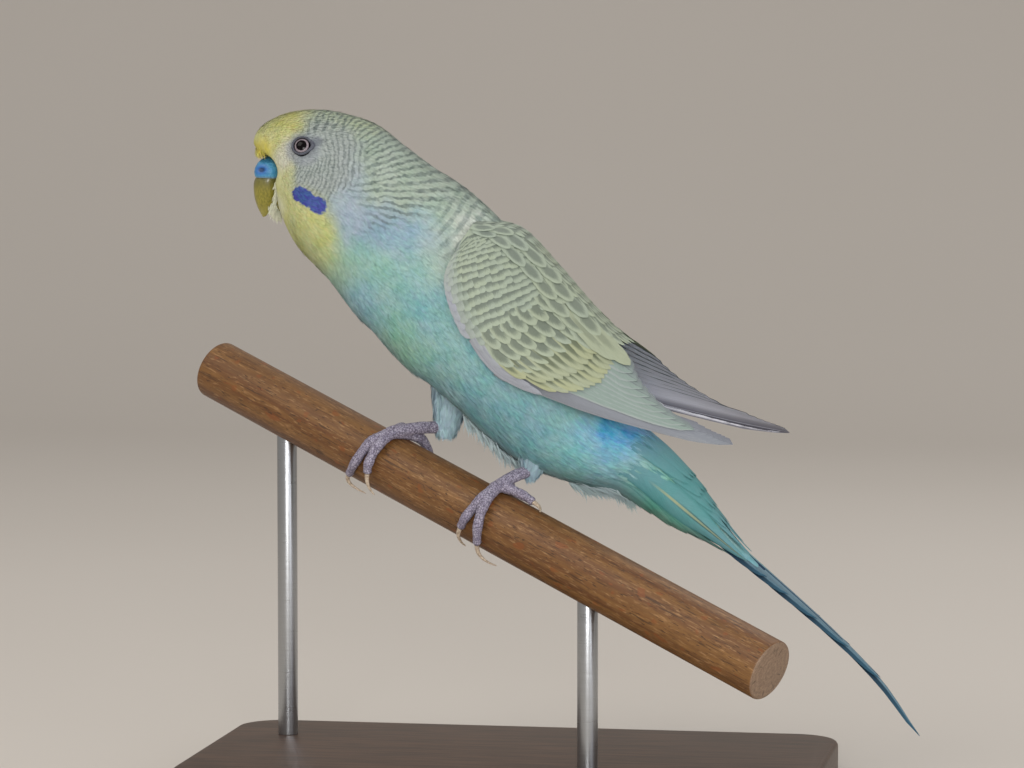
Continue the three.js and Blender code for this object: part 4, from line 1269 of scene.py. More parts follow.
tail_coverts = tail_covert_rows()
middle_row = tail_coverts[:, 2] - 1.0
middle_turn = tail_coverts[:, 1]
span_step = 0.01
further = tail_root_point(middle_row, middle_turn + span_step, 0)
nearer = tail_root_point(middle_row, middle_turn - span_step, 0)
tail_span = (np.linalg.norm(further - nearer, axis=-1) / (2 * span_step))[:, None]
tail_outs = body_frame(middle_row, middle_turn * 2 * math.pi)[2]
lay_vanes("tail_coverts", vane_points(tail_root_point, tail_coverts, tail_span),
          tail_coverts[:, look_columns], tail_coverts[:, tint_columns], make_tail_covert_material(),
          tail_outs)

# %% Tail feathers
tail_line = [(36.0, 65.6), (44.0, 58.4), (54.4, 49.6), (69.5, 36.2), (80.1, 25.2), (87.6, 13.9)]
tail_pairs = [(1.0, 0.5), (0.8, 1.7), (0.67, 2.6), (0.55, 3.5), (0.44, 4.4), (0.36, 4.8)]
tail_half = 2.0
tail_layer = 0.30
tail_roof = 0.85


def line_at(points, share):
    """A point and direction at a share of the length of a smooth line in the middle plane."""
    fine = smooth_line(points, np.linspace(0, 1, 400))
    run = np.concatenate([[0], np.cumsum(np.linalg.norm(np.diff(fine, axis=0), axis=1))])
    at = share * run[-1]
    behind, spot, ahead = (np.stack([np.interp(at + step, run, fine[:, i]) for i in range(2)], axis=-1)
                           for step in (-0.2, 0, 0.2))
    return spot, unit(ahead - behind)


def tail_vane_points():
    """The points of the tail's feathers, each pair under the one before."""
    sheets = []
    for layer, (reach, spread) in enumerate(tail_pairs):
        for side in (-1, 1):
            spot, way = line_at(tail_line, vane_share * reach)
            up = np.stack([-way[:, 1], way[:, 0]], axis=-1)
            half = tail_half * vane_width(vane_share, 0.72) * (1 - 0.35 * vane_share)
            drop = (layer + (0.4 if side > 0 else 0)) * tail_layer * (1 - 0.4 * vane_share)
            roof = np.abs(vane_across + 0.25 * side) * half * tail_roof
            flat = spot + up * (0.5 - drop - roof)[:, None]
            y = side * spread * vane_share * 0.8 + vane_across * half * 0.8
            sheets.append(np.stack([flat[:, 0], y, flat[:, 1]], axis=-1))
    return np.array(sheets)


def make_tail_material():
    """Pale steel blue webs, green at the root and darker at the tip, with navy edges that are partly their
    own colour and partly painted shade where the webs slope down.
    """
    material, tree, shader = new_material("tail_feathers")
    parts = vane_parts(tree)
    streaks = barb_streaks(tree, parts, lines=120.0, slope=0.1)
    base = mixed(tree, parts["tint"][1], colour("58737f"), colour("6c8591"))
    base = mixed(tree, ramp(tree, parts["share"], 0.15, 0.45, 0.8, 0.0), base, colour("82b8ac"))
    # Partly painted shade: the navy edge darkens the outer part of each web, where it slopes down.
    rim = ramp(tree, parts["across"], 0.22, 0.40, 0.0, 1.0)
    base = mixed(tree, rim, base, mixed(tree, parts["share"], colour("0c2c4c"), colour("1d3846")))
    base = mixed(tree, ramp(tree, parts["share"], 0.75, 1.0, 0.0, 0.5), base, colour("35657c"))
    finish_feather(tree, shader, base, streaks, 0.00006)
    return material


tail_material = make_tail_material()
tail_spots = tail_vane_points()
tail_tints = [(0.5, 1 - layer / 6, wing_rng.random()) for layer in range(len(tail_pairs)) for _ in range(2)]
tail_looks = np.zeros((len(tail_spots), 3))
lay_vanes("tail_vanes", tail_spots, tail_looks, tail_tints, tail_material, (0.7, 0, 0.7))

# %% [markdown]
# ## Eyes
# The eye is a glossy ball with a wide dark pupil and a narrow pale iris, set in a ring of dark, beaded skin
# that is drawn out to a corner behind. The ring is a sleeve closed on itself. The ball's colours are rings
# round the axis on which the eye looks out, so one material serves both eyes.

# %% Eyes and lids
eye_radius = 2.5
eye_proud = 0.25
lid_radius, lid_height, lid_thickness = 1.94, -0.24, 0.32
lid_corner, lid_beads, bead_height = 0.55, 22, 0.04


def eye_axis():
    """The middle of the bird's right eye and the way it looks; the left one is its mirror image."""
    x, z, step = eye_place[0], eye_place[2], 0.5
    width = flank(np.array([x, x + step, x - step, x, x]), np.array([z, z, z, z + step, z - step]))
    outward = np.array([-(width[1] - width[2]) / (2 * step), 1, -(width[3] - width[4]) / (2 * step)])
    return np.array([x, width[0], z]), unit(outward)


eye_surface, eye_way = eye_axis()
eye_middle = eye_surface + eye_way * (eye_proud - eye_radius)


def mirrored(spots, side):
    """Points moved to the side that is asked for: 1 is the right one, -1 the left one."""
    return np.asarray(spots) * (1, side, 1)


def lid_point(turn, share, side):
    """The ring of skin round the eye, drawn out at the rear corner."""
    back = unit(np.cross((0, 0, 1), eye_way))
    back = back * np.sign(back[0])
    up = np.cross(back, eye_way)
    up = up * np.sign(up[2])
    around = share * 2 * math.pi
    corner = np.clip(np.cos(around - 0.05), 0, 1) ** 8
    thick = lid_thickness + bead_height * np.sin(around * lid_beads) * np.clip(np.sin(turn), 0, 1)
    radius = lid_radius + lid_corner * corner + thick * np.cos(turn) * (1 + 0.5 * corner)
    height = lid_height - 0.05 * corner + thick * 0.9 * np.sin(turn)
    ring = back * np.cos(around)[..., None] + up * 0.96 * np.sin(around)[..., None]
    return mirrored(eye_surface + ring * radius[..., None] + eye_way * height[..., None], side)


def make_eye_material():
    """A dark pupil, a narrow pale iris and a dark edge, as rings round the axis of the eye."""
    material, tree, shader = new_material("eye")
    offset = vector_sums(tree, "SUBTRACT", folded(tree, object_place(tree)), tuple(eye_middle))
    from_axis = vector_sums(tree, "LENGTH", vector_sums(tree, "CROSS_PRODUCT", offset, tuple(eye_way)), out=1)
    fibres = noise(tree, offset, 3.5, detail=4.0)
    iris = mixed(tree, ramp(tree, fibres, 0.3, 0.7), colour("7b7077"), colour("a3989d"))
    base = mixed(tree, ramp(tree, from_axis, 1.12, 1.22), colour("0b0709"), iris)
    base = mixed(tree, ramp(tree, from_axis, 1.48, 1.60), base, colour("17151a"))
    finish_shader(tree, shader, base, {"Roughness": 0.05, "Specular IOR Level": 0.14})
    return material


def make_lid_material():
    """Grey, finely mottled skin, darker along the rim next to the eye."""
    material, tree, shader = new_material("lids")
    place = folded(tree, object_place(tree))
    offset = vector_sums(tree, "SUBTRACT", place, tuple(eye_surface))
    out = vector_sums(tree, "LENGTH", offset, out=1)
    fine = noise(tree, place, 4.0, detail=3.0)
    base = mixed(tree, ramp(tree, fine, 0.35, 0.65), colour("3a3d47"), colour("555965"))
    base = mixed(tree, ramp(tree, out, 1.6, 2.0), colour("23232a"), base)
    finish_shader(tree, shader, base, {"Roughness": 0.5}, fine, 0.5, 0.0001)
    return material


eye_material, lid_material = make_eye_material(), make_lid_material()
for side_name, side in (("left", -1), ("right", 1)):
    bm = bmesh.new()
    facing = Vector(mirrored(eye_way, side)).to_track_quat("Z", "Y").to_matrix().to_4x4()
    place = Matrix.Translation(Vector(mirrored(eye_middle, side)) * MM) @ facing
    bmesh.ops.create_uvsphere(bm, u_segments=48, v_segments=32, radius=eye_radius * MM, matrix=place)
    eye = add_object(f"eyeball_{side_name}", bm, eye_material)
    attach(eye, "root")
    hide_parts(f"eye_{side_name}")
    bm = bmesh.new()
    add_sleeve(bm, lambda turn, share: lid_point(turn, share, side), 14, 88)
    lid = add_object(f"lid_{side_name}", bm, lid_material)
    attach(lid, "root")
print("eyes look", eye_way.round(2))

# %% [markdown]
# ## Cere and bill
# The cere is a smooth blue dome over the bill's root, with a nostril in each side and a paler lower rim. It
# is a sleeve of flat boxed rings. The bill is short, deep and hooked, with its sides partly hidden in the
# face's feathers. Each half of it is a sleeve between a front line and a rear line, as the body is.

# %% Cere
cere_levels = np.array([0.0, 0.03, 0.12, 0.3, 0.5, 0.7, 0.86, 0.96, 1.0])
cere_reach = np.array([0.0, 0.86, 0.98, 1.03, 0.98, 0.82, 0.57, 0.27, 0.0])
cere_foot, cere_height = 131.75, 5.15
cere_middle, cere_length, cere_boxed = -53.2, 3.1, 2.7
nostril = np.array([-54.0, 4.1, 133.9])
nostril_size = (0.75, 1.4, 0.6)


def cere_point(turn, share):
    """The cere from its flat underside to its rounded top."""
    level = share ** 0.8
    reach = np.interp(level, cere_levels, cere_reach)
    rise, out = np.cos(turn), np.sin(turn)
    boxed = (np.abs(rise) ** cere_boxed + np.abs(out) ** cere_boxed) ** (-1 / cere_boxed)
    x = cere_middle + 0.2 * level + cere_length * reach * rise * boxed
    y = (4.9 + 0.3 * rise) * reach * out * boxed
    z = cere_foot + cere_height * level + 0.1 * (1 - level) * (1 - np.cos(turn))
    x = x + 0.35 * np.exp(-(y / 0.5) ** 2) * np.clip(-np.cos(turn), 0, 1)
    away = (np.stack([x, np.abs(y), z], axis=-1) - nostril) / nostril_size
    hole = np.exp(-np.sum(away**2, axis=-1))
    return np.stack([x + 0.25 * hole, y - 0.8 * hole * np.sign(y), z], axis=-1)


cere_spots = [
    (tuple(nostril), (1.7, 3.0, 1.2), 0, 0.5, 0.85, "2f62ae"),
    # Painted shade: the small dark core stands for the shade inside the nostril opening.
    (tuple(nostril), (0.75, 3.0, 0.5), 0, 0.5, 0.8, "182a4a"),
    ((-53.6, 0, 131.6), (6, 9, 0.75), 0, 0.5, 0.75, "a9bccb"),
]


def make_cere_material():
    """Blue skin, deeper round the nostril, with painted shade in the nostril opening, and paler along its
    lower rim.
    """
    material, tree, shader = new_material("cere")
    place = folded(tree, object_place(tree))
    fine = noise(tree, place, 2.2, detail=4.0)
    base = mixed(tree, ramp(tree, fine, 0.3, 0.7), colour("3d86b8"), colour("59a3c8"))
    base = add_spots(tree, place, base, cere_spots)
    finish_shader(tree, shader, base, {"Roughness": 0.42}, fine, 0.3)
    return material


bm = bmesh.new()
add_sleeve(bm, cere_point, 64, 40)
cere = add_object("cere_dome", bm, make_cere_material())
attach(cere, "root")
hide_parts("cere")

# %% Bill
upper_bill_rows = np.array([
    [-55.9, 132.6, -50.6, 132.6, 3.9], [-56.5, 131.2, -50.6, 131.2, 4.1], [-56.6, 129.4, -50.8, 129.5, 3.7],
    [-56.4, 127.5, -51.2, 127.7, 2.9], [-55.9, 125.8, -52.0, 126.0, 2.0], [-55.3, 124.5, -53.0, 124.7, 1.1],
    [-54.8, 123.6, -54.2, 123.8, 0.3],
])
lower_bill_rows = np.array([
    [-52.5, 125.1, -50.6, 124.9, 0.7], [-52.8, 126.2, -50.0, 125.8, 1.4], [-52.5, 128.0, -49.2, 127.8, 1.9],
    [-51.6, 130.2, -48.6, 130.2, 2.0],
])


def rows_point(rows, turn, share, power=2.0):
    """A sleeve between two lines in the middle plane, as the body is."""
    section = smooth_line(rows, share)
    front, rear = section[..., 0:2], section[..., 2:4]
    rise, out = np.cos(turn), np.sin(turn)
    size = (np.abs(rise) ** power + np.abs(out) ** power) ** (-1 / power)
    flat = (front + rear) / 2 + (front - rear) / 2 * (rise * size)[..., None]
    return np.stack([flat[..., 0], section[..., 4] * out * size, flat[..., 1]], axis=-1)


def make_bill_material():
    """Horn: olive, darker high up and paler near the tip, with fine streaks down its length."""
    material, tree, shader = new_material("bill")
    place = folded(tree, object_place(tree))
    fine = noise(tree, vector_sums(tree, "MULTIPLY", place, (2.0, 2.0, 0.5)), 1.5, detail=4.0)
    base = mixed(tree, ramp(tree, fine, 0.3, 0.7), colour("7d7729"), colour("9b9138"))
    height = axes_of(tree, place)[2]
    base = mixed(tree, ramp(tree, height, 128.5, 132.2, 0.0, 0.75), base, colour("5c5a38"))
    base = mixed(tree, ramp(tree, height, 124.0, 126.5, 0.6, 0.0), base, colour("a8a05a"))
    finish_shader(tree, shader, base, {"Roughness": 0.36, "Coat Weight": 0.25}, fine, 0.25)
    return material


bill_material = make_bill_material()
bill_halves = [("bill_hook", upper_bill_rows, "bill_upper"), ("bill_cup", lower_bill_rows, "bill_lower")]
for name, rows, node in bill_halves:
    bm = bmesh.new()
    add_sleeve(bm, lambda turn, share: rows_point(rows, turn, share, 2.5), 40, 32)
    bill = add_object(name, bm, bill_material)
    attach(bill, "root")
    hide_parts(node)

# %% [markdown]
# ## Fringes of the face
# White downy tips edge the bill's sides and hang below it: narrow tufts set along short lines. The brow, a
# dense apron of short yellow tufts, lies over the cere's upper rim.

# %% Fringes
def lay_line(name, line, ways, per_side, sizes, spread, material, lift=0.15):
    """Tufts scattered along a line on both sides of the bird; ways gives their direction along it."""
    count = per_side * 2
    share = rng.random(count)
    side = np.where(np.arange(count) % 2, 1.0, -1.0)[:, None] * (0, 1, 0) + (1, 0, 1)
    roots = smooth_line(line, share) + rng.normal(0, spread, (count, 3))
    way = unit(smooth_line(ways, share) + rng.normal(0, 0.12, (count, 3)))
    out = square_to(np.array([0.0, 1.0, 0.0]), way)
    length = sizes[0] * rng.uniform(0.7, 1.25, count)
    width = np.full(count, sizes[1])
    places = np.stack([0.02 + 0.1 * share, rng.random(count)], axis=1)
    piece = lay_feathers(name, tuft, roots * side, way * side, out * side, length, width,
                         rng.normal(lift, 0.08, count), rng.normal(0.1, 0.1, count), places, rng)
    piece.data.materials.append(material)
    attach(piece, "root")
    return piece


white_feathers = make_feather_material("white_feathers", "d6d6c6", 0.65)
lay_line("bill_fringe", [(-50.6, 4.8, 131.6), (-50.6, 4.6, 130.0), (-51.0, 3.8, 127.9), (-51.8, 2.6, 126.0)],
         [(-0.2, 0.05, -1), (-0.3, 0, -1), (-0.35, -0.1, -1), (-0.2, -0.15, -1)], 180, (1.4, 0.24), 0.17,
         white_feathers)
lay_line("chin_tuft", [(-52.2, 2.0, 126.4), (-51.8, 1.3, 125.2), (-51.2, 0.4, 124.4)],
         [(-0.35, -0.1, -1), (-0.25, -0.1, -1), (0.1, 0, -1)], 220, (1.7, 0.24), 0.35,
         white_feathers)

# %% Brow over the cere
brow_count = 1500
across = rng.uniform(-1, 1, brow_count)
drop = rng.uniform(0, 1, brow_count)
brow_x = -56.0 - 0.4 * drop + 1.9 * across**2 + rng.uniform(0, 1.2, brow_count)
brow_z = 140.2 - 2.4 * drop - 0.5 * across**2
brow_roots = np.stack([brow_x, across * 4.8, brow_z], axis=1)
brow_ways = np.stack([-0.22 + 0.3 * across**2, 0.2 * across, np.full(brow_count, -1.0)], axis=1)
brow_ways = unit(brow_ways + rng.normal(0, 0.10, (brow_count, 3)))
brow_outs = np.stack([-np.cos(across), np.sin(across), np.full(brow_count, 0.1)], axis=1)
brow_outs = square_to(brow_outs, brow_ways)
brow_lengths = rng.uniform(1.0, 1.6, brow_count)
brow_lifts = rng.normal(0.05, 0.05, brow_count)
brow_places = np.stack([np.full(brow_count, 0.02), 0.5 + across * 0.1], axis=1)
brow = lay_feathers("brow", tuft, brow_roots, brow_ways, brow_outs, brow_lengths, np.full(brow_count, 0.36),
                    brow_lifts, np.full(brow_count, 0.2), brow_places, rng)
brow.data.materials.append(body_feathers)
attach(brow, "root")

# %% [markdown]
# ## Feet
# Each foot has a bare shank and four scaly toes that wrap the perch, two in front and two behind, with a
# curved horn claw on each. Toes are sleeves along smooth lines laid round the perch. Their pads swell under
# the joints and fine scutes ring the top, and their places are given by a distance and an angle round it.

# %% Round the perch
perch_start = np.array([-20.3, 0.0, 67.0])
perch_way = unit(np.array([0.834, -0.4266, -0.3499]))
perch_side = unit(-np.cross((0, 0, 1), perch_way))
perch_top = -np.cross(perch_way, perch_side)
perch_radius = 6.5
perch_from, perch_to = -62.0, 97.0


def round_perch(distance, degrees, radius):
    """A place round the perch: a distance along it, an angle from its top and a radius."""
    angle = math.radians(degrees)
    out = perch_top * math.cos(angle) + perch_side * math.sin(angle)
    return perch_start + perch_way * distance + radius * out


print("perch top", perch_top.round(2), "side", perch_side.round(2))


def tube_frame(line, share):
    """A point, direction and two crossing directions along a smooth line."""
    spot = smooth_line(line, share)
    way = unit(smooth_line(line, share + 0.01) - smooth_line(line, share - 0.01), 1e-9)
    side = unit(np.cross(way, perch_way), 1e-9)
    return spot, way, side, np.cross(side, way)


def tube_ring(side, out, turn, wide, tall):
    """The way from a tube's middle to its skin, for its half width and half height there."""
    return side * (wide * np.cos(turn))[..., None] + out * (tall * np.sin(turn))[..., None]


def rounded_end(share, length, least):
    """How a tube closes over the last part of its length, down to the root of a least value."""
    past = np.clip((share - (1 - length)) / length, 0, 1)
    return np.sqrt(np.clip(1 - past ** 2, least, 1))


# %% Toes, shanks and claws
toe_root, toe_end = 1.4, 0.95
shank_radius = 1.35
claw_radius, claw_tip, claw_straight = 0.55, 0.14, 0.55
node_gap = 0.3
feet = {
    "left": {"ankle": (5.2, -5.2, 69.0), "fork": (21.2, 16), "toes": [
        ([(22.8, 2), (26.2, -6), (29.6, -4)], (33.4, 14, 7.6)),
        ([(21.0, 50), (19.8, 84), (18.8, 108)], (19.6, 146, 7.9)),
        ([(22.4, 56), (23.4, 90), (23.6, 124)], (28.0, 156, 8.2)),
        ([(20.6, -22), (20.0, -60), (19.8, -94)], (21.8, -134, 8.2))]},
    "right": {"ankle": (-15.7, 6.6, 76.9), "fork": (-8.6, 20), "toes": [
        ([(-6.0, -28), (-4.6, -62), (-4.0, -92)], (-5.6, -132, 8.2)),
        ([(-8.6, 54), (-8.6, 84), (-8.4, 102)], (-6.2, 136, 8.2)),
        ([(-10.6, 54), (-12.0, 92), (-14.0, 126)], (-10.0, 154, 8.2)),
        ([(-10.2, -20), (-11.4, -56), (-12.2, -88)], (-10.8, -128, 8.2))]},
}


def toe_line(foot, path):
    """The middle line of a toe, from the fork to the root of its claw."""
    spots = [foot["fork"], *path]
    thick = np.linspace(toe_root, toe_end, len(spots))
    return np.array([round_perch(d, a, perch_radius + node_gap + t) for (d, a), t in zip(spots, thick)])


def toe_point(line, turn, share):
    """A toe's skin: pads below its joints, scutes over its top and a rounded end."""
    spot, way, _, _ = tube_frame(line, share)
    length = np.sum(np.linalg.norm(np.diff(smooth_line(line, np.linspace(0, 1, 60)), axis=0), axis=1))
    thick = toe_root + (toe_end - toe_root) * share
    pads = 0.10 * np.cos(share * 3 * 2 * math.pi)
    rings = 0.07 * np.abs(np.sin(share * length / 1.05 * math.pi)) ** 0.5 - 0.05
    radius = thick * (0.94 + pads * 0.6 + rings) * rounded_end(share, 0.07, 0.02)
    away = spot - perch_start
    away = unit(away - perch_way * np.sum(away * perch_way, axis=-1)[..., None])
    across = unit(np.cross(way, away), 1e-9)
    away = np.cross(across, way)
    return clear_of_perch(spot + tube_ring(away, across, turn, radius, radius * 0.98))


def clear_of_perch(point):
    """Keeps a point just off the perch's round."""
    off = point - perch_start
    along = perch_way * np.sum(off * perch_way, axis=-1)[..., None]
    out = off - along
    reach = np.linalg.norm(out, axis=-1)[..., None]
    return perch_start + along + out / reach * np.maximum(reach, perch_radius + 0.03)


def shank_line(foot):
    """The middle line of a shank, from inside the thigh to the fork of the toes."""
    ankle = np.array(foot["ankle"]) + (0, 0, 1.2)
    fork = round_perch(*foot["fork"], perch_radius + node_gap + toe_root)
    return np.array([ankle + (0, 0, 1.5), ankle, (ankle + fork) / 2 + (0, 0, 0.3), fork])


def shank_point(line, turn, share):
    """A shank's skin, with seven rings of scutes."""
    spot, _, side, out = tube_frame(line, share)
    rings = 0.05 * np.abs(np.sin(share * 7 * math.pi)) ** 0.5
    radius = shank_radius * (0.95 + rings) * rounded_end(share, 0.08, 0.05)
    return clear_of_perch(spot + tube_ring(side, out, turn, radius, radius))


def claw_points(foot, path, tip):
    """The curved line of a claw, from the toe's end along its direction to its tip."""
    line = toe_line(foot, path)
    way = unit(smooth_line(line, np.array([1.0])) - smooth_line(line, np.array([0.98])))[0]
    root, end = line[-1] + way * 0.1, round_perch(*tip)
    bend = root + way * claw_straight * np.linalg.norm(end - root)
    t = np.linspace(0, 1, 7)[:, None]
    return root * (1 - t) ** 2 + bend * 2 * t * (1 - t) + end * t**2


def claw_point(line, turn, share):
    """A claw's horn, which tapers to its tip and is deeper than it is wide."""
    spot, _, side, out = tube_frame(line, share)
    radius = claw_radius + (claw_tip - claw_radius) * share ** 1.3
    radius = radius * rounded_end(share, 0.05, 0.01)
    return clear_of_perch(spot + tube_ring(side, out, turn, 0.85 * radius, radius))


# %% Foot and claw materials
def make_foot_material():
    """Greyish mauve skin under small pale scales with dark seams."""
    material, tree, shader = new_material("foot_skin")
    place = folded(tree, object_place(tree))
    pairs = [("Vector", place), ("Scale", 1.9)]
    cells = add_node(tree, "ShaderNodeTexVoronoi", pairs, feature="DISTANCE_TO_EDGE")
    seams = ramp(tree, cells.outputs[0], 0.0, 0.16)
    broad = noise(tree, place, 0.9, detail=3.0)
    base = mixed(tree, ramp(tree, broad, 0.3, 0.7), colour("8b8398"), colour("aaa3b4"))
    base = mixed(tree, seams, colour("5f5768"), base)
    pale = noise(tree, place, 3.1, detail=2.0)
    base = mixed(tree, ramp(tree, pale, 0.55, 0.72, 0.0, 0.7), base, colour("cfcad6"))
    finish_shader(tree, shader, base, {"Roughness": 0.55}, seams, 0.6)
    return material


def make_claw_material():
    """Horn: pale brown, finely mottled."""
    material, tree, shader = new_material("claw_horn")
    place = folded(tree, object_place(tree))
    fine = noise(tree, place, 2.0, detail=4.0)
    base = mixed(tree, ramp(tree, fine, 0.35, 0.65), colour("a08c78"), colour("cdbba4"))
    finish_shader(tree, shader, base, {"Roughness": 0.35, "Coat Weight": 0.3})
    return material


# %% Make the feet
foot_material, claw_material = make_foot_material(), make_claw_material()
for side_name, foot in feet.items():
    bm = bmesh.new()
    line = shank_line(foot)
    add_sleeve(bm, lambda turn, share: shank_point(line, turn, share), 20, 40)
    for path, tip in foot["toes"]:
        line = toe_line(foot, path)
        add_sleeve(bm, lambda turn, share: toe_point(line, turn, share), 20, 60)
    piece = add_object(f"scaly_foot_{side_name}", bm, foot_material)
    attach(piece, "root")
    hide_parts(f"foot_{side_name}")
    for number, (path, tip) in enumerate(foot["toes"], 1):
        bm = bmesh.new()
        line = claw_points(foot, path, tip)
        add_sleeve(bm, lambda turn, share: claw_point(line, turn, share), 14, 24)
        claw = add_object(f"horn_{side_name}_{number}", bm, claw_material)
        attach(claw, "root")
        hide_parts(f"claw_{side_name}_toe_{number}")

# %% [markdown]
# ## Perch and stand
# The perch is a sawn length of beech dowel with softened rims. Its grain is noise drawn out along the dowel,
# with fine dark pores and reddish flecks, and its sawn ends show rings and small cracks. The stand is plain:
# a dark oiled base with rounded corners and two brushed steel rods.

# %% Perch
def rims_of(bm):
    """The edges round the large flat faces."""
    return [e for e in bm.edges if any(len(f.verts) > 4 for f in e.link_faces)]


def soften(bm, edges, reach, segments):
    """Rounds edges off."""
    bmesh.ops.bevel(bm, geom=edges, offset=reach, offset_type="OFFSET", segments=segments, profile=0.5,
                    affect="EDGES", material=-1)


def add_rod(name, start, way, length, radius, edge, material):
    """A round rod with rounded rims, in millimetres."""
    bm = bmesh.new()
    turned = Vector(way).to_track_quat("Z", "Y").to_matrix().to_4x4()
    middle = (np.asarray(start, float) + np.asarray(way, float) * length / 2) * MM
    bmesh.ops.create_cone(bm, cap_ends=True, segments=96, radius1=radius * MM, radius2=radius * MM,
                          depth=length * MM, matrix=Matrix.Translation(Vector(middle)) @ turned)
    soften(bm, rims_of(bm), edge * MM, 4)
    return add_object(name, bm, material)


def make_wood_material():
    """Beech: drawn-out grain, pores and flecks along the dowel, rings and cracks on its sawn ends."""
    material, tree, shader = new_material("beech")
    place = vector_sums(tree, "SCALE", object_place(tree), 1000.0)
    offset = vector_sums(tree, "SUBTRACT", place, tuple(perch_start))
    along, side, top = (vector_sums(tree, "DOT_PRODUCT", offset, tuple(way), out=1)
                        for way in (perch_way, perch_side, perch_top))

    def grain(stretch, scale, detail):
        """Noise drawn out along the dowel."""
        drawn = vector_of(tree, sums(tree, "MULTIPLY", along, stretch), side, top)
        return noise(tree, drawn, scale, detail=detail, rough=0.6)

    base = mixed(tree, ramp(tree, grain(0.03, 0.5, 4.0), 0.3, 0.7), colour("643d1c"), colour("835c30"))
    layers = [((0.08, 1.6, 4.0), 0.35, 0.7, 0.5, "523316"), ((0.14, 2.6, 4.0), 0.52, 0.72, 0.55, "b38b5d"),
              ((0.05, 2.2, 2.0), 0.62, 0.66, 0.7, "3a2411"), ((0.5, 0.5, 1.0), 0.66, 0.70, 0.45, "864517")]
    for drawing, low, high, strength, code in layers:
        base = mixed(tree, ramp(tree, grain(*drawing), low, high, 0.0, strength), base, colour(code))
    pores = ramp(tree, grain(0.16, 3.6, 1.0), 0.63, 0.70, 0.0, 0.8)
    base = mixed(tree, pores, base, colour("3c2410"))
    out = length_of(tree, side, top)
    uneven = sums(tree, "MULTIPLY", noise(tree, place, 0.25, detail=2.0), 4.0)
    rings = sums(tree, "SINE", sums(tree, "MULTIPLY", sums(tree, "ADD", out, uneven), 4.5))
    end_grain = mixed(tree, ramp(tree, rings, -0.6, 0.9), colour("8a705a"), colour("957b63"))
    rough_cut = ramp(tree, noise(tree, place, 2.2, detail=5.0, rough=0.75), 0.35, 0.68, 0.0, 0.75)
    end_grain = mixed(tree, rough_cut, end_grain, colour("6b5643"))
    angle = sums(tree, "ARCTAN2", top, side)
    rays = vector_of(tree, sums(tree, "MULTIPLY", angle, 3.0), sums(tree, "MULTIPLY", out, 0.15), 0.0)
    cracks = ramp(tree, noise(tree, rays, 2.2, detail=3.0), 0.60, 0.68, 0.0, 0.8)
    end_grain = mixed(tree, cracks, end_grain, colour("54402f"))
    near_end = sums(tree, "MAXIMUM", ramp(tree, along, perch_to - 0.35, perch_to - 0.2),
                    ramp(tree, along, perch_from + 0.2, perch_from + 0.35, 1.0, 0.0))
    base = mixed(tree, near_end, base, end_grain)
    finish_shader(tree, shader, base, {"Roughness": 0.55}, pores, 0.35, invert=True)
    return material


perch = add_rod("beech_perch", perch_start + perch_way * perch_from, perch_way, perch_to - perch_from,
                perch_radius, 0.6, make_wood_material())
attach(perch, "root")
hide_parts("perch")


# %% Stand
def make_base_material():
    """Dark oiled wood with straight grain."""
    material, tree, shader = new_material("oiled_wood")
    drawn = vector_sums(tree, "MULTIPLY", object_place(tree), (60.0, 900.0, 900.0))
    grain = noise(tree, drawn, 1.0, detail=5.0, rough=0.6)
    base = mixed(tree, ramp(tree, grain, 0.3, 0.7), colour("33241b"), colour("5b4232"))
    finish_shader(tree, shader, base, {"Roughness": 0.42}, grain, 0.2)
    return material


def make_steel_material():
    """Brushed steel: grey metal with fine rings round the rod."""
    material, tree, shader = new_material("brushed_steel")
    brushed = vector_sums(tree, "MULTIPLY", object_place(tree), (200.0, 200.0, 4000.0))
    brushed = noise(tree, brushed, 1.0, detail=2.0)
    tree.links.new(ramp(tree, brushed, 0.2, 0.8, 0.27, 0.33), shader.inputs["Roughness"])
    finish_shader(tree, shader, mixed(tree, brushed, colour("aaacae"), colour("b9bbbd")), {"Metallic": 1.0})
    return material


base_size = (0.136, 0.076, 0.008)
base_corner, base_edge = 0.010, 0.0012


def make_base():
    """A flat block with rounded corners and softened rims."""
    bm = bmesh.new()
    raised = Matrix.Translation((0, 0, base_size[2] / 2))
    bmesh.ops.create_cube(bm, size=1, matrix=raised @ Matrix.Diagonal((*base_size, 1)))
    upright = [e for e in bm.edges if abs(e.verts[0].co.z - e.verts[1].co.z) > 0.001]
    soften(bm, upright, base_corner, 12)
    soften(bm, rims_of(bm), base_edge, 4)
    return add_object("oiled_base", bm, make_base_material())


rod_radius, rod_places = 2.2, (-40.0, 48.0)
rod_foot, rod_below_middle = 7.9, 5.0
base = make_base()
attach(base, "root")
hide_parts("stand_base")
steel = make_steel_material()
for number, distance in enumerate(rod_places, 1):
    top = perch_start + perch_way * distance
    rod = add_rod(f"steel_rod_{number}", (top[0], top[1], rod_foot), (0, 0, 1),
                  top[2] - rod_below_middle - rod_foot, rod_radius, 0.3, steel)
    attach(rod, "root")
    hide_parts(f"stand_rod_{number}")
print("stand and perch made")

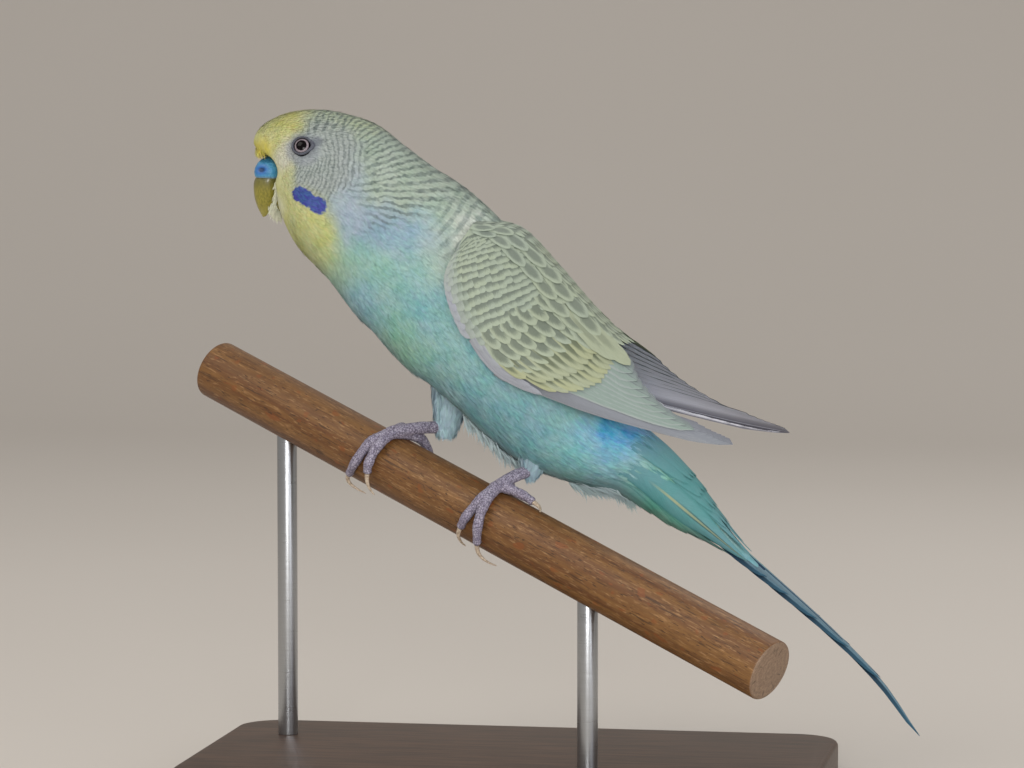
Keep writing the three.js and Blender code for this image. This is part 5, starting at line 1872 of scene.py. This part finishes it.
# %% [markdown]
# ## Floor and light
# The model stands on a plain pale floor that curves up behind it into a wall, so that no edge shows. The
# light is that of a bright room: one large soft light from the upper left, weaker ones from low on the right
# and from above behind, and a smaller one in front that lights the face and the wing.

# %% Floor
floor_shift, floor_flat, floor_bend, floor_wide = 0.6, 0.9, 0.5, 1.6


def make_floor():
    """A wide sheet that lies flat and then sweeps up behind the model."""
    bm = bmesh.new()
    bmesh.ops.create_grid(bm, x_segments=2, y_segments=48, size=1.5)
    for vert in bm.verts:
        run = vert.co.y + floor_shift
        past = max(0.0, run - floor_flat)
        bend = min(past / floor_bend, math.pi / 2 * 0.9)
        rest = past - bend * floor_bend
        vert.co.x *= floor_wide
        vert.co.y = min(run, floor_flat) + floor_bend * math.sin(bend) + rest * math.cos(bend)
        vert.co.z = floor_bend * (1 - math.cos(bend)) + rest * math.sin(bend)
    material, tree, shader = new_material("floor")
    broad = noise(tree, object_place(tree), 3.0, detail=2.0)
    base = mixed(tree, broad, colour("d3ccc3"), colour("d9d2ca"))
    finish_shader(tree, shader, base, {"Roughness": 0.85, "Specular IOR Level": 0.2})
    add_object("floor", bm, material)


make_floor()


# %% Lights
# Each light: its place and size in metres, its power in watts and its colour. All look at the bird's body.
light_aim = Vector((0, 0, 0.09))
lights = {
    "window": ((-0.55, -0.55, 0.95), 0.7, 4.5, "fffaf4"),
    "fill": ((0.8, -0.6, 0.14), 0.6, 3.3, "f2f6ff"),
    "rim": ((0.3, 0.5, 0.8), 0.5, 2.0, "ffffff"),
    "front": ((0.16, -1.0, 0.26), 0.35, 4.4, "ffffff"),
}
for name, (spot, size, power, code) in lights.items():
    data = bpy.data.lights.new(name, "AREA")
    data.size = size
    data.energy = power
    data.color = colour(code)[:3]
    light = link_object(name, data)
    light.location = spot
    light.rotation_euler = (light_aim - Vector(spot)).to_track_quat("-Z", "Y").to_euler()

world = bpy.data.worlds.new("sky")
world.use_nodes = True
background = world.node_tree.nodes["Background"]
background.inputs[0].default_value = colour("e6e4e2")
background.inputs[1].default_value = 0.45
bpy.context.scene.world = world
bpy.context.scene.view_settings.view_transform = "Standard"
